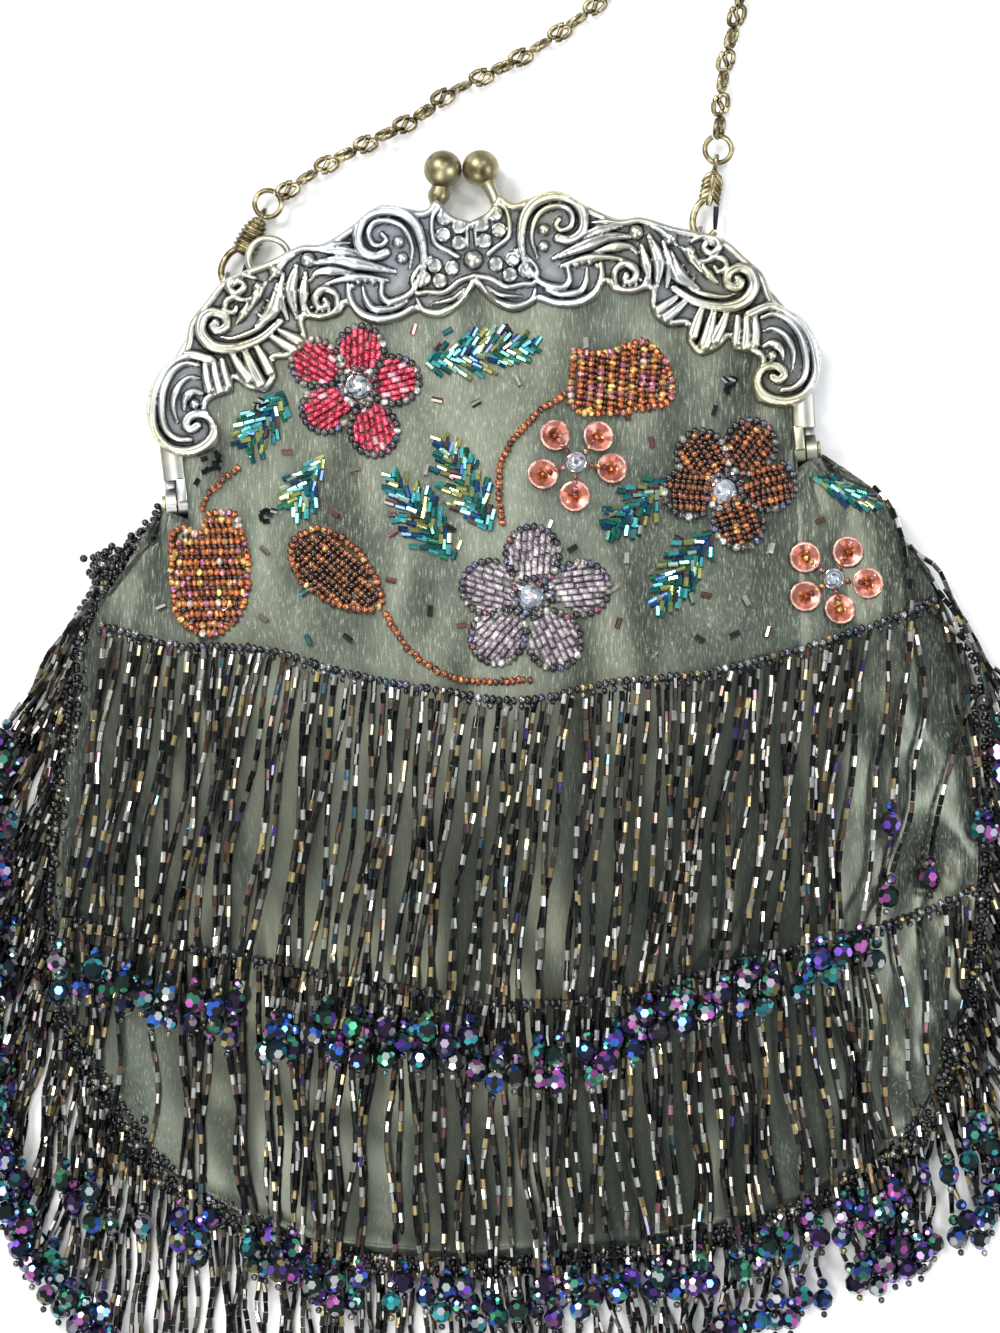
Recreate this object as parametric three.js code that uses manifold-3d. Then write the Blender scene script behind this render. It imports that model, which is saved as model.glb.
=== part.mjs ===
// Beaded evening handbag lying on its back, in millimetres. +Z is up off the surface, +Y runs from the
// bag's bottom to its chain, and the origin is under the middle of the pouch's back.
import * as THREE from "three";
import { mergeVertices } from "three/addons/utils/BufferGeometryUtils.js";
import Module from "manifold-3d";

const wasm = await Module();
wasm.setup();

const part = new THREE.Group();
const v3 = (x, y, z = 0) => new THREE.Vector3(x, y, z);
const clamp = THREE.MathUtils.clamp;
const smooth = THREE.MathUtils.smoothstep;
const mix = THREE.MathUtils.lerp;

// A piece's looks in the plain view: colour, metalness and roughness.
const SATIN = [0x5c6050, 0, 0.45];
const SILVER = [0x9a9ca4, 1, 0.4];
const BRASS = [0xbdb184, 1, 0.35];
const STEEL = [0x2a2d33, 1, 0.4];
const JET = [0x1e2024, 0.2, 0.3];
const GUNMETAL = [0x3c4046, 0.5, 0.35];
const RED = [0xc03450, 0, 0.35];
const LILAC = [0xa394a4, 0, 0.3];
const BROWN = [0x5a3320, 0, 0.35];
const AMBER = [0xc07a40, 0, 0.35];
const CORAL = [0xe0826c, 0.2, 0.3];
const TEAL = [0x1f6e70, 0.2, 0.3];
const CRYSTAL = [0xe4e6ec, 0, 0.1];

function solidOf(geometry) {
  const bare = geometry.clone();
  bare.deleteAttribute("normal");
  bare.deleteAttribute("uv");
  const merged = mergeVertices(bare, 1e-4);
  return new wasm.Manifold(new wasm.Mesh({
    numProp: 3,
    vertProperties: merged.attributes.position.array,
    triVerts: new Uint32Array(merged.index.array),
  }));
}

function geometryOf(solid) {
  const mesh = solid.getMesh();
  const geometry = new THREE.BufferGeometry();
  geometry.setAttribute("position", new THREE.BufferAttribute(mesh.vertProperties, 3));
  geometry.setIndex(new THREE.BufferAttribute(mesh.triVerts, 1));
  geometry.computeVertexNormals();
  return geometry;
}

function add(name, shape, [color, metalness, roughness]) {
  const geometry = shape.isBufferGeometry ? shape : geometryOf(shape);
  const mesh = new THREE.Mesh(geometry, new THREE.MeshStandardMaterial({ color, metalness, roughness }));
  mesh.name = name;
  part.add(mesh);
}

// A smooth curve through rows of x, y and maybe z.
const curveThrough = (rows) => new THREE.CatmullRomCurve3(rows.map((row) => v3(...row)), false, "centripetal");

function polygon(radius, sides) {
  return new THREE.Shape(Array.from({ length: sides }, (_, i) => {
    const turn = (i / sides) * 2 * Math.PI;
    return new THREE.Vector2(radius * Math.cos(turn), radius * Math.sin(turn));
  }));
}

function tube(curve, radius, steps, sides = 8) {
  return new THREE.ExtrudeGeometry(polygon(radius, sides), { steps, extrudePath: curve, bevelEnabled: false });
}

// A closed slab between an upper and a lower sheet, each a function of two shares from 0 to 1.
function slab(columns, rows, upper, lower) {
  const points = [];
  const faces = [];
  const count = (columns + 1) * (rows + 1);
  const at = (i, j) => j * (columns + 1) + i;
  for (const sheet of [upper, lower])
    for (let j = 0; j <= rows; j++)
      for (let i = 0; i <= columns; i++) points.push(...sheet(i / columns, j / rows).toArray());
  const quad = (a, b, c, d) => faces.push(a, b, c, a, c, d);
  for (let j = 0; j < rows; j++)
    for (let i = 0; i < columns; i++) {
      const [a, b, c, d] = [at(i, j), at(i, j + 1), at(i + 1, j + 1), at(i + 1, j)];
      quad(a, b, c, d);
      quad(count + d, count + c, count + b, count + a);
    }
  const wall = (a, b) => quad(a, b, count + b, count + a);
  for (let i = 0; i < columns; i++) {
    wall(at(i, 0), at(i + 1, 0));
    wall(at(i + 1, rows), at(i, rows));
  }
  for (let j = 0; j < rows; j++) {
    wall(at(0, j + 1), at(0, j));
    wall(at(columns, j), at(columns, j + 1));
  }
  const geometry = new THREE.BufferGeometry();
  geometry.setAttribute("position", new THREE.Float32BufferAttribute(points, 3));
  geometry.setIndex(faces);
  return geometry;
}

// The frame's own plane: its x runs from hinge to hinge and its y up the arch.
const FRAME_TILT = THREE.MathUtils.degToRad(4.8);
const FRAME_ORIGIN = v3(-5.2, 78.7, 0);
const toFrame = new THREE.Matrix4().makeRotationZ(FRAME_TILT).setPosition(FRAME_ORIGIN);
const ARCH_HALF = [[70.3, 5], [70.3, 16], [67, 29], [57.5, 39.5], [40, 47], [20, 51]];
const archRows = [...ARCH_HALF.map(([x, y]) => [-x, y]), [0, 52], ...ARCH_HALF.slice().reverse()];
const ARCH_STEPS = 32;
const arch = curveThrough(archRows).getSpacedPoints(ARCH_STEPS);
const archInBag = arch.map((p) => p.clone().applyMatrix4(toFrame));

// The rim is the line of the side and bottom seam, from the left hinge round the bottom to the right one.
const RIM = [
  [-79, 71.5], [-81.6, 65.8], [-89.1, 56.7], [-95.8, 46.7], [-98.9, 33.3], [-101.1, 20], [-104.2, -8.9],
  [-104.2, -24.4], [-102.2, -37.8], [-98.4, -48.9], [-85.6, -70], [-78.9, -77.3], [-68.2, -84.9],
  [-47.8, -93.3], [-25.6, -96.9], [-3.3, -97.3], [30.9, -93.8], [50, -89.3], [65.6, -84.4], [86.7, -71.5],
  [93.5, -63], [99.3, -47.1], [102.2, -37.8], [104.4, -24.4], [105.6, -8.9], [105.6, 20], [105.1, 31.1],
  [101.6, 42.2], [94, 57.8], [89.6, 63.3], [86.7, 70.7], [80.7, 76.2], [72.2, 80.9], [68, 84],
];
const rimCurve = curveThrough(RIM);
const rim = rimCurve.getSpacedPoints(400);
const lowest = rim.reduce((best, p, i) => (p.y < rim[best].y ? i : best), 0);
const BAG_TOP = 134;
const BAG_BOTTOM = rim[lowest].y;
const BAG_HALF_WIDTH = 105;

// The rim's x on one side at a height, with the rim drawn in by an inset.
function sideX(side, y, inset) {
  const yRim = BAG_TOP + (y - BAG_TOP) / (1 - inset / (BAG_TOP - BAG_BOTTOM));
  const branch = side < 0 ? rim.slice(0, lowest + 1).reverse() : rim.slice(lowest);
  const above = branch.findIndex((p) => p.y >= yRim);
  if (above < 0) return branch[branch.length - 1].x;
  if (above === 0) return branch[0].x * (1 - inset / BAG_HALF_WIDTH);
  const [low, high] = [branch[above - 1], branch[above]];
  return mix(low.x, high.x, (yRim - low.y) / (high.y - low.y)) * (1 - inset / BAG_HALF_WIDTH);
}

// Distance from the frame's arch, which sets how far the cloth has risen or sunk from its channels.
const fromArch = (x, y) => Math.min(...archInBag.map((p) => Math.hypot(p.x - x, p.y - y)));
const TRIM_INSET = 2.4;
const CLOTH = 1.0;
const RIM_HEIGHT = 5.0;
const FRONT_AT_FRAME = 9.5;
const BACK_AT_FRAME = 2.3;
const CROWN = [[-98, 0.5], [-85, 4], [-60, 9.5], [-30, 13], [0, 14.5], [30, 14], [60, 11.5], [95, 9], [140, 9]];
const crownCurve = (y) => {
  const i = clamp(CROWN.findIndex(([h]) => h >= y), 1, CROWN.length - 1);
  const [[y0, c0], [y1, c1]] = [CROWN[i - 1], CROWN[i]];
  return mix(c0, c1, smooth(y, y0, y1));
};
// Soft folds of the satin, each a ridge that runs down the front.
const FOLDS = [
  { top: [-38, 64], bottom: [-46, 8], width: 10, height: 1.0 },
  { top: [-72, 40], bottom: [-88, -20], width: 10, height: 1.3 },
  { top: [-12, 28], bottom: [-14, -35], width: 10, height: 0.9 },
  { top: [28, 30], bottom: [31, -28], width: 10, height: 1.0 },
  { top: [84, 66], bottom: [92, 22], width: 10, height: 1.8 },
  { top: [60, 34], bottom: [52, -30], width: 11, height: -0.9 },
];

function foldHeight(x, y) {
  return FOLDS.reduce((sum, { top, bottom, width, height }) => {
    const down = clamp((top[1] - y) / (top[1] - bottom[1]), 0, 1);
    const off = (x - mix(top[0], bottom[0], down)) / width;
    const fade = smooth(y, bottom[1] - 18, bottom[1] + 6) * (1 - smooth(y, top[1] - 6, top[1] + 18));
    return sum + height * fade * Math.exp(-off * off * 2);
  }, 0);
}

// Heights of the cloth's front and back over the bag's plane.
function front(x, y) {
  const [left, right] = [sideX(-1, y, TRIM_INSET), sideX(1, y, TRIM_INSET)];
  const across = clamp(Math.abs((2 * (x - left)) / Math.max(right - left, 1) - 1), 0, 1);
  const lens = Math.pow(1 - Math.pow(across, 2.5), 0.75);
  const body = RIM_HEIGHT + crownCurve(y) * lens + foldHeight(x, y) * (1 - Math.pow(across, 5));
  return mix(FRONT_AT_FRAME, body, smooth(fromArch(x, y), 18, 55));
}
const back = (x, y) => mix(BACK_AT_FRAME, 0, smooth(fromArch(x, y), 8, 30));

// Satin pouch: an outer pillow less its inside, cut to the line where its edge sits in the channels.
function pillow(columns, rows, inset, wall, top) {
  const place = (s, t, height) => {
    const bottom = BAG_BOTTOM + inset + 0.8;
    const y = mix(top, bottom, 1 - Math.pow(1 - t, 1.35));
    const x = mix(sideX(-1, y, inset), sideX(1, y, inset), 0.5 - 0.5 * Math.cos(Math.PI * mix(0.08, 0.92, s))
      / Math.cos(Math.PI * 0.08));
    return v3(x, y, height(x, y));
  };
  return solidOf(slab(columns, rows, (s, t) => place(s, t, (x, y) => front(x, y) - wall),
    (s, t) => place(s, t, (x, y) => back(x, y) + wall)));
}

const HINGE_CLEAR = [[66.2, 6.4], [66.2, -5.2], [140, -5.2], [140, -260]];
const CLOTH_INTO_CHANNEL = 0.8;
const archOutline = arch.map((p, i) => {
  const along = arch[Math.min(i + 1, ARCH_STEPS)].clone().sub(arch[Math.max(i - 1, 0)]).normalize();
  return new THREE.Vector2(p.x - along.y * CLOTH_INTO_CHANNEL, p.y + along.x * CLOTH_INTO_CHANNEL);
}).filter((p) => p.y > HINGE_CLEAR[0][1]);
const mouthShape = new THREE.Shape([
  ...HINGE_CLEAR.slice().reverse().map(([x, y]) => new THREE.Vector2(-x, y)),
  ...archOutline,
  ...HINGE_CLEAR.map(([x, y]) => new THREE.Vector2(x, y)),
]);
const mouth = new THREE.ExtrudeGeometry(mouthShape, { depth: 60, bevelEnabled: false });
mouth.translate(0, 0, -10).applyMatrix4(toFrame);
const pouch = pillow(26, 22, TRIM_INSET, 0, BAG_TOP)
  .subtract(pillow(16, 14, TRIM_INSET + 1.2, CLOTH, BAG_TOP + 4))
  .intersect(solidOf(mouth));
add("pouch", pouch, SATIN);

// Frame halves: a channel bent round the arch, open towards the pouch so that the cloth's edge sits in it.
const BAR = 2.5;
const SLOT_DEPTH = 1.2;
const FRONT_BAR = { low: 6.0, high: 10.8, slot: [8.2, 9.8] };
const BACK_BAR = { low: 0.8, high: 5.6, slot: [2.0, 3.6] };

function channel({ low, high, slot }) {
  const section = [[-BAR, low], [BAR, low], [BAR, slot[0]], [-SLOT_DEPTH, slot[0]], [-SLOT_DEPTH, slot[1]],
    [BAR, slot[1]], [BAR, high], [-BAR, high]];
  const points = [];
  const faces = [];
  const n = section.length;
  arch.forEach((p, i) => {
    const along = arch[Math.min(i + 1, ARCH_STEPS)].clone().sub(arch[Math.max(i - 1, 0)]).normalize();
    for (const [inward, z] of section) points.push(p.x + along.y * inward, p.y - along.x * inward, z);
    if (i === ARCH_STEPS) return;
    for (let k = 0; k < n; k++) {
      const [a, b, c, d] = [i * n + k, i * n + ((k + 1) % n), (i + 1) * n + ((k + 1) % n), (i + 1) * n + k];
      faces.push(a, b, c, a, c, d);
    }
  });
  const caps = THREE.ShapeUtils.triangulateShape(section.map(([x, y]) => new THREE.Vector2(x, y)), []);
  for (const [a, b, c] of caps) {
    faces.push(a, c, b);
    faces.push(ARCH_STEPS * n + a, ARCH_STEPS * n + b, ARCH_STEPS * n + c);
  }
  const geometry = new THREE.BufferGeometry();
  geometry.setAttribute("position", new THREE.Float32BufferAttribute(points, 3));
  geometry.setIndex(faces);
  const made = solidOf(geometry);
  return made.volume() > 0 ? made : solidOf(geometry.setIndex(faces.slice().reverse()));
}

function box(x0, x1, y0, y1, z0, z1) {
  const geometry = new THREE.BoxGeometry(x1 - x0, y1 - y0, z1 - z0);
  return solidOf(geometry.translate((x0 + x1) / 2, (y0 + y1) / 2, (z0 + z1) / 2));
}

function crossRod(radius, x0, x1, sides = 12) {
  const geometry = new THREE.CylinderGeometry(radius, radius, x1 - x0, sides).rotateZ(Math.PI / 2);
  return solidOf(geometry.translate((x0 + x1) / 2, 0, PIN_HEIGHT));
}

// Hinges: an ear of each half stands beside the other's, and a rivet passes through both.
const PIN_HEIGHT = 5.8;
const PIN = { radius: 1.0, hole: 1.3, head: 1.9, headThick: 0.6, ear: 3.4 };
const EARS = { front: [67.8, 70.1], back: [70.5, 72.8] };
const mirrored = (x0, x1, side) => (side > 0 ? [x0, x1] : [-x1, -x0]);

function withEars(bar, [near, far], { low, high }) {
  return [-1, 1].reduce((made, side) => {
    const [x0, x1] = mirrored(near, far, side);
    return made.add(box(x0, x1, 0, 5.6, low, high)).add(crossRod(PIN.ear, x0, x1))
      .subtract(crossRod(PIN.hole, x0 - 1, x1 + 1));
  }, bar);
}

for (const [name, side] of [["left_hinge_pin", -1], ["right_hinge_pin", 1]]) {
  const span = [EARS.front[0] - 0.3, EARS.back[1] + 0.3];
  const pin = crossRod(PIN.radius, ...mirrored(span[0] - 0.4, span[1] + 0.4, side))
    .add(crossRod(PIN.head, ...mirrored(span[0] - PIN.headThick, span[0], side)))
    .add(crossRod(PIN.head, ...mirrored(span[1], span[1] + PIN.headThick, side)));
  add(name, geometryOf(pin).applyMatrix4(toFrame), BRASS);
}

// Stamped plate on the front half: half of its outline, from the middle of the top round to the middle below.
const PLATE_HALF = [
  [0, 56.7], [4, 58.5], [7, 62], [10.5, 60], [19.5, 62], [27, 57.5], [33, 54.5], [38, 54.5], [45, 51.8],
  [50, 50.3], [56, 48], [60, 44], [64, 39.5], [66, 33.5], [72, 29], [75, 23], [75, 17.5], [72.5, 12.5],
  [67, 9.8], [60.5, 11.5], [59.5, 16], [57.5, 22.5], [53.5, 24.5], [48, 22.7], [46, 28], [41, 31], [40, 36],
  [34.7, 38], [29.5, 39.5], [26, 38.5], [20, 36.3], [15, 39.5], [12.5, 38], [8.6, 36.5], [3.5, 39], [0, 42.5],
];
const PLATE = { low: 10.7, thick: 1.6 };
const plateHalf = curveThrough(PLATE_HALF).getSpacedPoints(38);
const plateShape = new THREE.Shape([
  ...plateHalf.map((p) => new THREE.Vector2(p.x, p.y)),
  ...plateHalf.slice(1, -1).reverse().map((p) => new THREE.Vector2(-p.x, p.y)),
]);
const plate = new THREE.ExtrudeGeometry(plateShape, { depth: PLATE.thick, bevelEnabled: false });
plate.translate(0, 0, PLATE.low);

// Raised scrolls of the plate: centre, first and last radius, first and last angle in degrees.
const SCROLLS = [
  { centre: [18.8, 54], radii: [7.2, 3.2], turn: [200, -130] },
  { centre: [20.5, 42.5], radii: [6.2, 3.4], turn: [160, 400] },
  { centre: [55.5, 38.2], radii: [7.5, 3.0], turn: [190, 400] },
  { centre: [65.8, 19.8], radii: [9.2, 4.0], turn: [115, -150] },
];
const BOSSES = [[34.6, 41.8, 3.4], [37, 52.2, 1.8], [44, 49.8, 1.7], [47.8, 46.6, 1.6], [4.2, 52.6, 1.7],
  [4.4, 48.6, 1.7], [7.6, 45.4, 1.7], [10, 42.4, 1.7]];
const RELIEF = { radius: 1.5, level: 12.4 };

function scroll({ centre, radii, turn }, side) {
  const rows = Array.from({ length: 12 }, (_, i) => {
    const angle = THREE.MathUtils.degToRad(mix(turn[0], turn[1], i / 11));
    const radius = mix(radii[0], radii[1], i / 11);
    return [side * (centre[0] + radius * Math.cos(angle)), centre[1] + radius * Math.sin(angle), RELIEF.level];
  });
  return solidOf(tube(curveThrough(rows), RELIEF.radius, 9, 4));
}

function boss(x, y, radius, z) {
  return solidOf(new THREE.SphereGeometry(radius, 6, 4).rotateX(Math.PI / 2).scale(1, 1, 0.55).translate(x, y, z));
}

// Kiss lock: two balls on posts that lean past each other over the middle of the arch.
const KISS = {
  left: { ball: [-5.2, 69.4, 5.8], radius: 4.2, foot: [-8.0, 53.5, 3.4], post: 1.9 },
  right: { ball: [3.4, 69.2, 5.8], radius: 4.0, foot: [5.4, 53.6, 8.2], post: 1.4 },
};

function kissBall({ ball, radius, foot, post }) {
  return solidOf(new THREE.SphereGeometry(radius, 12, 8).translate(...ball))
    .add(solidOf(tube(curveThrough([foot, [mix(foot[0], ball[0], 0.6), 62, foot[2]], ball]), post, 6)));
}

// Wire loop that stands on top of the front half's left shoulder.
const LOOP = { centre: [-45.4, 52.4, 9.3], radius: 4.6, wire: 0.75 };
let frontFrame = withEars(channel(FRONT_BAR), EARS.front, FRONT_BAR)
  .add(solidOf(plate))
  .add(kissBall(KISS.right))
  .add(solidOf(new THREE.TorusGeometry(LOOP.radius, LOOP.wire, 6, 16).translate(...LOOP.centre)))
  .add(boss(0, 48.4, 2.1, RELIEF.level));
for (const side of [-1, 1]) {
  for (const row of SCROLLS) frontFrame = frontFrame.add(scroll(row, side));
  for (const [x, y, radius] of BOSSES) frontFrame = frontFrame.add(boss(side * x, y, radius, RELIEF.level));
}
add("front_frame", geometryOf(frontFrame).applyMatrix4(toFrame), SILVER);

// Clasps: a leaf-shaped body with an eye for its ring, a hook below and a spring gate that closes the hook.
// Each is drawn with its eye at the origin and its hook towards -y.
const CLASP_HEIGHT = 2.6;
const RING = { radius: 3.0, wire: 0.6 };
const CLASPS = {
  left: { ring: [-55.3, 140.0], towards: [-0.45, -0.893], chain: [0.824, 0.566] },
  right: { ring: [45.6, 152.2], towards: [-0.17, -0.985], chain: [0.05, 0.999] },
};
const EYE = { radius: 1.5, wire: 0.5 };
const HOOK_ROUTE = [[-1.3, -8.6], [-2.7, -11], [-2.9, -14], [-1.9, -16.3], [-0.2, -17.2], [1.5, -16.7], [2.4, -15.3]];
const HOOK_WIRE = 0.8;
const GATE = { pivot: [1.75, -9.7], tip: [2.35, -14.9], radius: 0.6 };
const FRAME_EYE = { at: [-0.9, -17.0], radius: 1.95, wire: 0.55 };
const eyeLoop = ({ radius, wire }, x, y) => solidOf(
  new THREE.TorusGeometry(radius, wire, 6, 12).rotateY(Math.PI / 2).translate(x, y, 0));
let backFrame = withEars(channel(BACK_BAR), EARS.back, BACK_BAR).add(kissBall(KISS.left));
const fromFrame = toFrame.clone().invert();

for (const [side, { ring, towards, chain }] of Object.entries(CLASPS)) {
  const start = v3(ring[0] + towards[0] * RING.radius, ring[1] + towards[1] * RING.radius, CLASP_HEIGHT);
  const turn = Math.atan2(-towards[1], -towards[0]) - Math.PI / 2;
  const place = new THREE.Matrix4().makeRotationZ(turn).setPosition(start);
  const leaf = new THREE.SphereGeometry(1, 8, 6).scale(2.5, 4.2, 1.5).translate(0, -5.6, 0);
  const clasp = eyeLoop(EYE, 0, 0).add(solidOf(leaf)).add(solidOf(tube(curveThrough(HOOK_ROUTE), HOOK_WIRE, 12, 6)));
  add(side + "_clasp", geometryOf(clasp).applyMatrix4(place), BRASS);
  add(side + "_gate", tube(curveThrough([GATE.pivot, GATE.tip]), GATE.radius, 1).applyMatrix4(place), STEEL);
  const opening = Math.atan2(chain[1], chain[0]);
  const turns = Array.from({ length: 21 }, (_, i) => opening + 0.5 + (i / 20) * 2 * Math.PI * 0.965);
  const ringRows = turns.map((a) => [ring[0] + RING.radius * Math.cos(a), ring[1] + RING.radius * Math.sin(a),
    CLASP_HEIGHT]);
  add(side + "_ring", tube(curveThrough(ringRows), RING.wire, 20, 6), BRASS);
  const toBar = place.clone().premultiply(fromFrame);
  const eye = geometryOf(eyeLoop(FRAME_EYE, ...FRAME_EYE.at)).applyMatrix4(toBar);
  const rootOfPost = v3(FRAME_EYE.at[0], FRAME_EYE.at[1] - FRAME_EYE.radius, 0).applyMatrix4(toBar);
  const foot = arch.reduce((best, p) => (p.distanceTo(rootOfPost) < best.distanceTo(rootOfPost) ? p : best));
  const seat = foot.clone().setZ(CLASP_HEIGHT).lerp(rootOfPost, 1.8 / foot.distanceTo(rootOfPost));
  backFrame = backFrame.add(solidOf(eye)).add(solidOf(tube(new THREE.LineCurve3(rootOfPost, seat), 0.8, 1)));
}
add("back_frame", geometryOf(backFrame).applyMatrix4(toFrame), SILVER);

// Chain: laid on the surface from one ring round a plain loop to the other.
const CHAIN_RADIUS = 1.65;
const CHAIN_ROUTE = [
  [-51.9, 142.3], [-48.9, 144.4], [-40.7, 149.6], [-22.7, 158.9], [-14.4, 164.9], [2.2, 173.3], [18, 184.4],
  [25, 193], [27, 206], [24, 224], [22, 244], [27, 262], [39, 271], [52, 268], [60, 256], [61, 240],
  [57, 222], [53, 204], [50.2, 184.4], [46.9, 169.8], [45.8, 156.3],
];
add("chain", tube(curveThrough(CHAIN_ROUTE.map(([x, y]) => [x, y, CHAIN_RADIUS + 0.05])), CHAIN_RADIUS, 56), BRASS);

// Seed-bead lines that the two front tiers hang from, as roots, with the strand ends below them.
const UPPER = [
  { root: [-92.2, 45.6], tip: [-104.4, -34.4] }, { root: [-74.9, 41.1], tip: [-84.4, -40.4] },
  { root: [-55.8, 40.2], tip: [-58, -47.8] }, { root: [-36.2, 34.7], tip: [-36.2, -50] },
  { root: [-15.3, 30.9], tip: [-15.3, -51.6] }, { root: [1.6, 28.9], tip: [2.7, -55.1] },
  { root: [21.8, 32.9], tip: [21.8, -52.4] }, { root: [41.3, 34.9], tip: [34, -45.6] },
  { root: [62.4, 40], tip: [47.3, -38.9] }, { root: [82.9, 46.7], tip: [65.6, -34.4] },
  { root: [95.6, 51.8], tip: [86.7, -26.7] },
];
const LOWER = [
  { root: [-99.6, -19.4], tip: [-102.9, -83.3] }, { root: [-88.2, -23.1], tip: [-90, -90] },
  { root: [-76, -25.8], tip: [-78.9, -92.2] }, { root: [-60, -28.2], tip: [-62.9, -96] },
  { root: [-40.7, -32.2], tip: [-41.1, -104.4] }, { root: [-30.4, -33.6], tip: [-30, -108] },
  { root: [-8.7, -38], tip: [-8.2, -109.3] }, { root: [1.1, -38.4], tip: [2.2, -109.8] },
  { root: [18.9, -36.7], tip: [19.8, -107.1] }, { root: [38.9, -32.2], tip: [39.3, -102.7] },
  { root: [54.4, -27.8], tip: [55.6, -97.8] }, { root: [70.4, -24.4], tip: [73.3, -92.2] },
  { root: [84.2, -20.7], tip: [88.2, -85.6] }, { root: [93.8, -17.3], tip: [97.8, -77.8] },
  { root: [102.2, -13.2], tip: [108.4, -68.9] },
];
const ROW_RADIUS = 0.9;
const LIFT = 0.7;
const STRAND = 1.6;
const BEAD = 3.0;
const BEAD_CLEAR = 0.15;

function outsideRim(x, y) {
  if (y > BAG_BOTTOM && x > sideX(-1, y, 0) && x < sideX(1, y, 0)) return 0;
  return Math.min(...rim.map((p) => Math.hypot(p.x - x, p.y - y)));
}
const ground = (x, y) => front(x, y) - 2 * smooth(outsideRim(x, y), 4, 12);

function rowTube(rows, steps) {
  const flat = curveThrough(rows.map(({ root }) => root)).getSpacedPoints(steps);
  return tube(curveThrough(flat.map((p) => [p.x, p.y, ground(p.x, p.y) + ROW_RADIUS + LIFT])), ROW_RADIUS, steps, 5);
}
add("upper_row", rowTube(UPPER, 32), GUNMETAL);
add("lower_row", rowTube(LOWER, 32), GUNMETAL);

// A tier of strands: a thin curtain from its roots to its tips, with the end beads standing out of its hem.
function tier(rows, { columns, rowCount, beads, start, under }) {
  const roots = curveThrough(rows.map(({ root }) => root));
  const tips = curveThrough(rows.map(({ tip }) => tip));
  const at = (s, t) => {
    const [a, b] = [roots.getPoint(s), tips.getPoint(s)];
    return a.lerp(b, mix(start / a.distanceTo(b), 1, t));
  };
  const low = (s, t) => {
    const p = at(s, t);
    return p.setZ(under(p.x, p.y));
  };
  let made = solidOf(slab(columns, rowCount, (s, t) => low(s, t).add(v3(0, 0, STRAND)), low));
  for (let i = 0; i < beads; i++) {
    const p = low((i + 0.5) / beads, i % 2 ? 1 : 0.93);
    made = made.add(solidOf(new THREE.SphereGeometry(BEAD, 6, 3).translate(p.x, p.y, p.z + BEAD + BEAD_CLEAR)));
  }
  return made;
}
const lowerRow = curveThrough(LOWER.map(({ root }) => root)).getSpacedPoints(120);
const lowerRowY = (x) => lowerRow.reduce((best, p) => (Math.abs(p.x - x) < Math.abs(best.x - x) ? p : best)).y;
const overLower = (x, y) => 2.6 * (1 - smooth(y, lowerRowY(x) + 4, lowerRowY(x) + 16));
const START = 1.5;
add("upper_fringe", tier(UPPER, { columns: 22, rowCount: 7, beads: 22, start: START,
  under: (x, y) => ground(x, y) + LIFT + overLower(x, y) }), JET);
add("lower_fringe", tier(LOWER, { columns: 22, rowCount: 7, beads: 22, start: START,
  under: (x, y) => ground(x, y) + LIFT }), JET);

// Rim trim and the strands that hang from it and lie on the surface.
const TRIM = { radius: 2.0, height: 2.4, out: 0.9 };
const trimRoute = rim.map((p, i) => {
  const along = rim[Math.min(i + 1, 400)].clone().sub(rim[Math.max(i - 1, 0)]).normalize();
  return [p.x + along.y * TRIM.out, p.y - along.x * TRIM.out, TRIM.height];
}).filter((_, i) => i > 11 && i < 389 && i % 4 === 0);
add("rim_trim", tube(curveThrough(trimRoute), TRIM.radius, 64, 6), GUNMETAL);
const RIM_STRANDS = {
  left_fringe: { columns: 12, beads: 11, rows: [
    { root: [-97.5, 60.5], tip: [-115.6, 18.9] }, { root: [-101.5, 46], tip: [-117.5, 3] },
    { root: [-104.5, 24], tip: [-118, -22.2] }, { root: [-107.5, -2], tip: [-118, -46] },
    { root: [-108, -22], tip: [-117, -64.4] }, { root: [-104.5, -43], tip: [-112, -88] },
    { root: [-98, -57], tip: [-104, -104] }, { root: [-85.2, -76], tip: [-87.2, -122.5] } ] },
  bottom_fringe: { columns: 14, beads: 14, rows: [
    { root: [-83.6, -77.8], tip: [-85.2, -124] }, { root: [-70, -88.3], tip: [-71, -134] },
    { root: [-48.5, -97], tip: [-49, -143] }, { root: [-25.8, -100.8], tip: [-26, -148] },
    { root: [-3.3, -101.2], tip: [-3.3, -148.5] }, { root: [14.5, -100.2], tip: [14.5, -146] },
    { root: [31.4, -97.7], tip: [31, -132] }, { root: [51, -93.1], tip: [49.5, -113] },
    { root: [69, -86.9], tip: [68.6, -106] } ] },
  right_fringe: { columns: 16, beads: 12, rows: [
    { root: [70.8, -85.8], tip: [70.8, -105] }, { root: [89.5, -74.3], tip: [91.5, -95] },
    { root: [97.2, -63.5], tip: [101, -91] }, { root: [103, -48], tip: [110, -84.4] },
    { root: [108.2, -24.4], tip: [115.6, -65] }, { root: [109.4, -5], tip: [117.5, -42] },
    { root: [109.4, 16], tip: [117.5, -20] }, { root: [108.5, 33], tip: [119, 2] },
    { root: [104.5, 46], tip: [116.5, 17] } ] },
};
for (const [name, { rows, columns, beads }] of Object.entries(RIM_STRANDS))
  add(name, tier(rows, { columns, rowCount: 2, beads, start: 0.1, under: () => 0.2 }), JET);

// Embroidery on the upper front: each motif is a thin pad laid on the cloth.
const PAD = { lift: 0.6, thick: 1.8 };

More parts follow.
